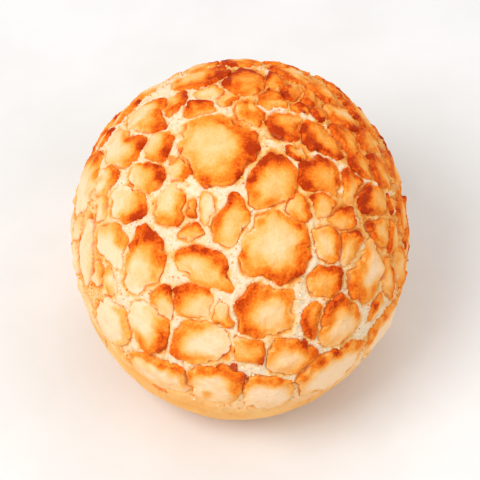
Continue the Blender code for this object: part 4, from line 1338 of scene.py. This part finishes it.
flake_rng = np.random.default_rng(FLAKE_SEED)
flake_skins = []
for across_seen, up_seen, length, width, turn, shade in SEEN_FLAKES:
    way = seen_place(across_seen / 1000, up_seen / 1000)
    plate = front_plate(across_seen, up_seen, length, width, turn)
    halves = [axis / (axis @ axis) for axis in (plate.along, plate.across)]
    flake_skins.append(flake_skin(way, *halves, shade, flake_rng))
flake_turns = flake_rng.uniform(0, math.tau, (MORE_FLAKES, 2))
flake_lowest = math.cos(math.radians(FLAKE_LIMIT))
flake_falls = np.arccos(flake_rng.uniform(flake_lowest, 1, MORE_FLAKES))
for (bearing, turn), fall in zip(flake_turns, flake_falls):
    way = direction_of(bearing, fall)
    if way @ sight_frame()[2] > OUT_OF_SIGHT:
        continue
    normal = dome_normal(way)
    lengthwise = unit(np.cross(normal, (math.cos(turn), math.sin(turn), FLAKE_SLANT)))
    half = np.exp(flake_rng.uniform(*np.log(FLAKE_HALF)))
    slim = flake_rng.uniform(*FLAKE_SLIMNESS) * half
    shade = flake_rng.uniform(*FLAKE_SHADE_RANGE)
    halves = lengthwise * half, np.cross(normal, lengthwise) * slim
    flake_skins.append(flake_skin(way, *halves, shade, flake_rng))
flakes = piece_from("scorched_flakes", flake_skins, flake_material())
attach(flakes, "root")

# ------------------------------------------------
# Stage: a plain pale floor under the roll, soft studio light from the upper left, and a camera
# with the photograph's view.
# ------------------------------------------------

STAGE_RADIUS = 4.0
STAGE_CORNERS = 64
STAGE_COLOUR = display(232, 231, 230)
STAGE_SHADE = display(227, 226, 224)
WORLD_STRENGTH = 0.60
FRAME_HEIGHT = 0.144  # of the view at the roll's distance
# Name, place as bearing and elevation in degrees and distance, size, and power in watts.
LIGHTS = (
    ("key", 215, 52, 1.3, 0.70, 11.0),
    ("fill", -30, 40, 1.4, 0.90, 3.5),
    ("rim", 70, 45, 1.4, 0.80, 3.0),
)


def stage_material():
    """A matte pale grey, very slightly clouded."""
    material, tree, shader, place = new_material("pale_floor")
    cloudy = ramp(tree, noise(tree, place, 0.05), (0.4, STAGE_SHADE), (0.6, STAGE_COLOUR))
    fill(tree, shader, {"Base Color": cloudy, "Roughness": 0.9})
    return material


stage_turn = around(STAGE_CORNERS)
stage_rim = np.stack((np.cos(stage_turn), np.sin(stage_turn), np.zeros(STAGE_CORNERS)), -1)
stage_rim = stage_rim * STAGE_RADIUS
stage_mesh = bpy.data.meshes.new("pale_floor")
stage_mesh.from_pydata(stage_rim.tolist(), [], [list(range(STAGE_CORNERS))])
stage_mesh.materials.append(stage_material())
stage_floor = bpy.data.objects.new("pale_floor", stage_mesh)
bpy.context.scene.collection.objects.link(stage_floor)

middle = Vector(roll_middle)
for name, bearing, elevation, distance, size, power in LIGHTS:
    lamp = bpy.data.lights.new(name, "AREA")
    lamp.size = size
    lamp.energy = power
    holder = bpy.data.objects.new(name, lamp)
    way = Vector(direction_of(math.radians(bearing), math.radians(90 - elevation)))
    holder.location = middle + way * distance
    holder.rotation_euler = way.to_track_quat("Z", "Y").to_euler()
    bpy.context.scene.collection.objects.link(holder)

world = bpy.data.worlds.new("studio")
world.use_nodes = True
sky = {"Color": (1.0, 1.0, 1.0, 1.0), "Strength": WORLD_STRENGTH}
fill(world.node_tree, world.node_tree.nodes["Background"], sky)
bpy.context.scene.world = world
bpy.context.scene.view_settings.view_transform = "Standard"

_, view_up, view_towards = (Vector(axis) for axis in sight_frame())
camera_data = bpy.data.cameras.new("camera")
camera_data.sensor_width = 36
camera_data.lens = camera_data.sensor_width * SIGHT_DISTANCE / FRAME_HEIGHT
camera = bpy.data.objects.new("camera", camera_data)
camera.location = middle + view_towards * SIGHT_DISTANCE + view_up * SIGHT_MIDDLE_UP
camera.rotation_euler = view_towards.to_track_quat("Z", "Y").to_euler()
bpy.context.scene.collection.objects.link(camera)
bpy.context.scene.camera = camera
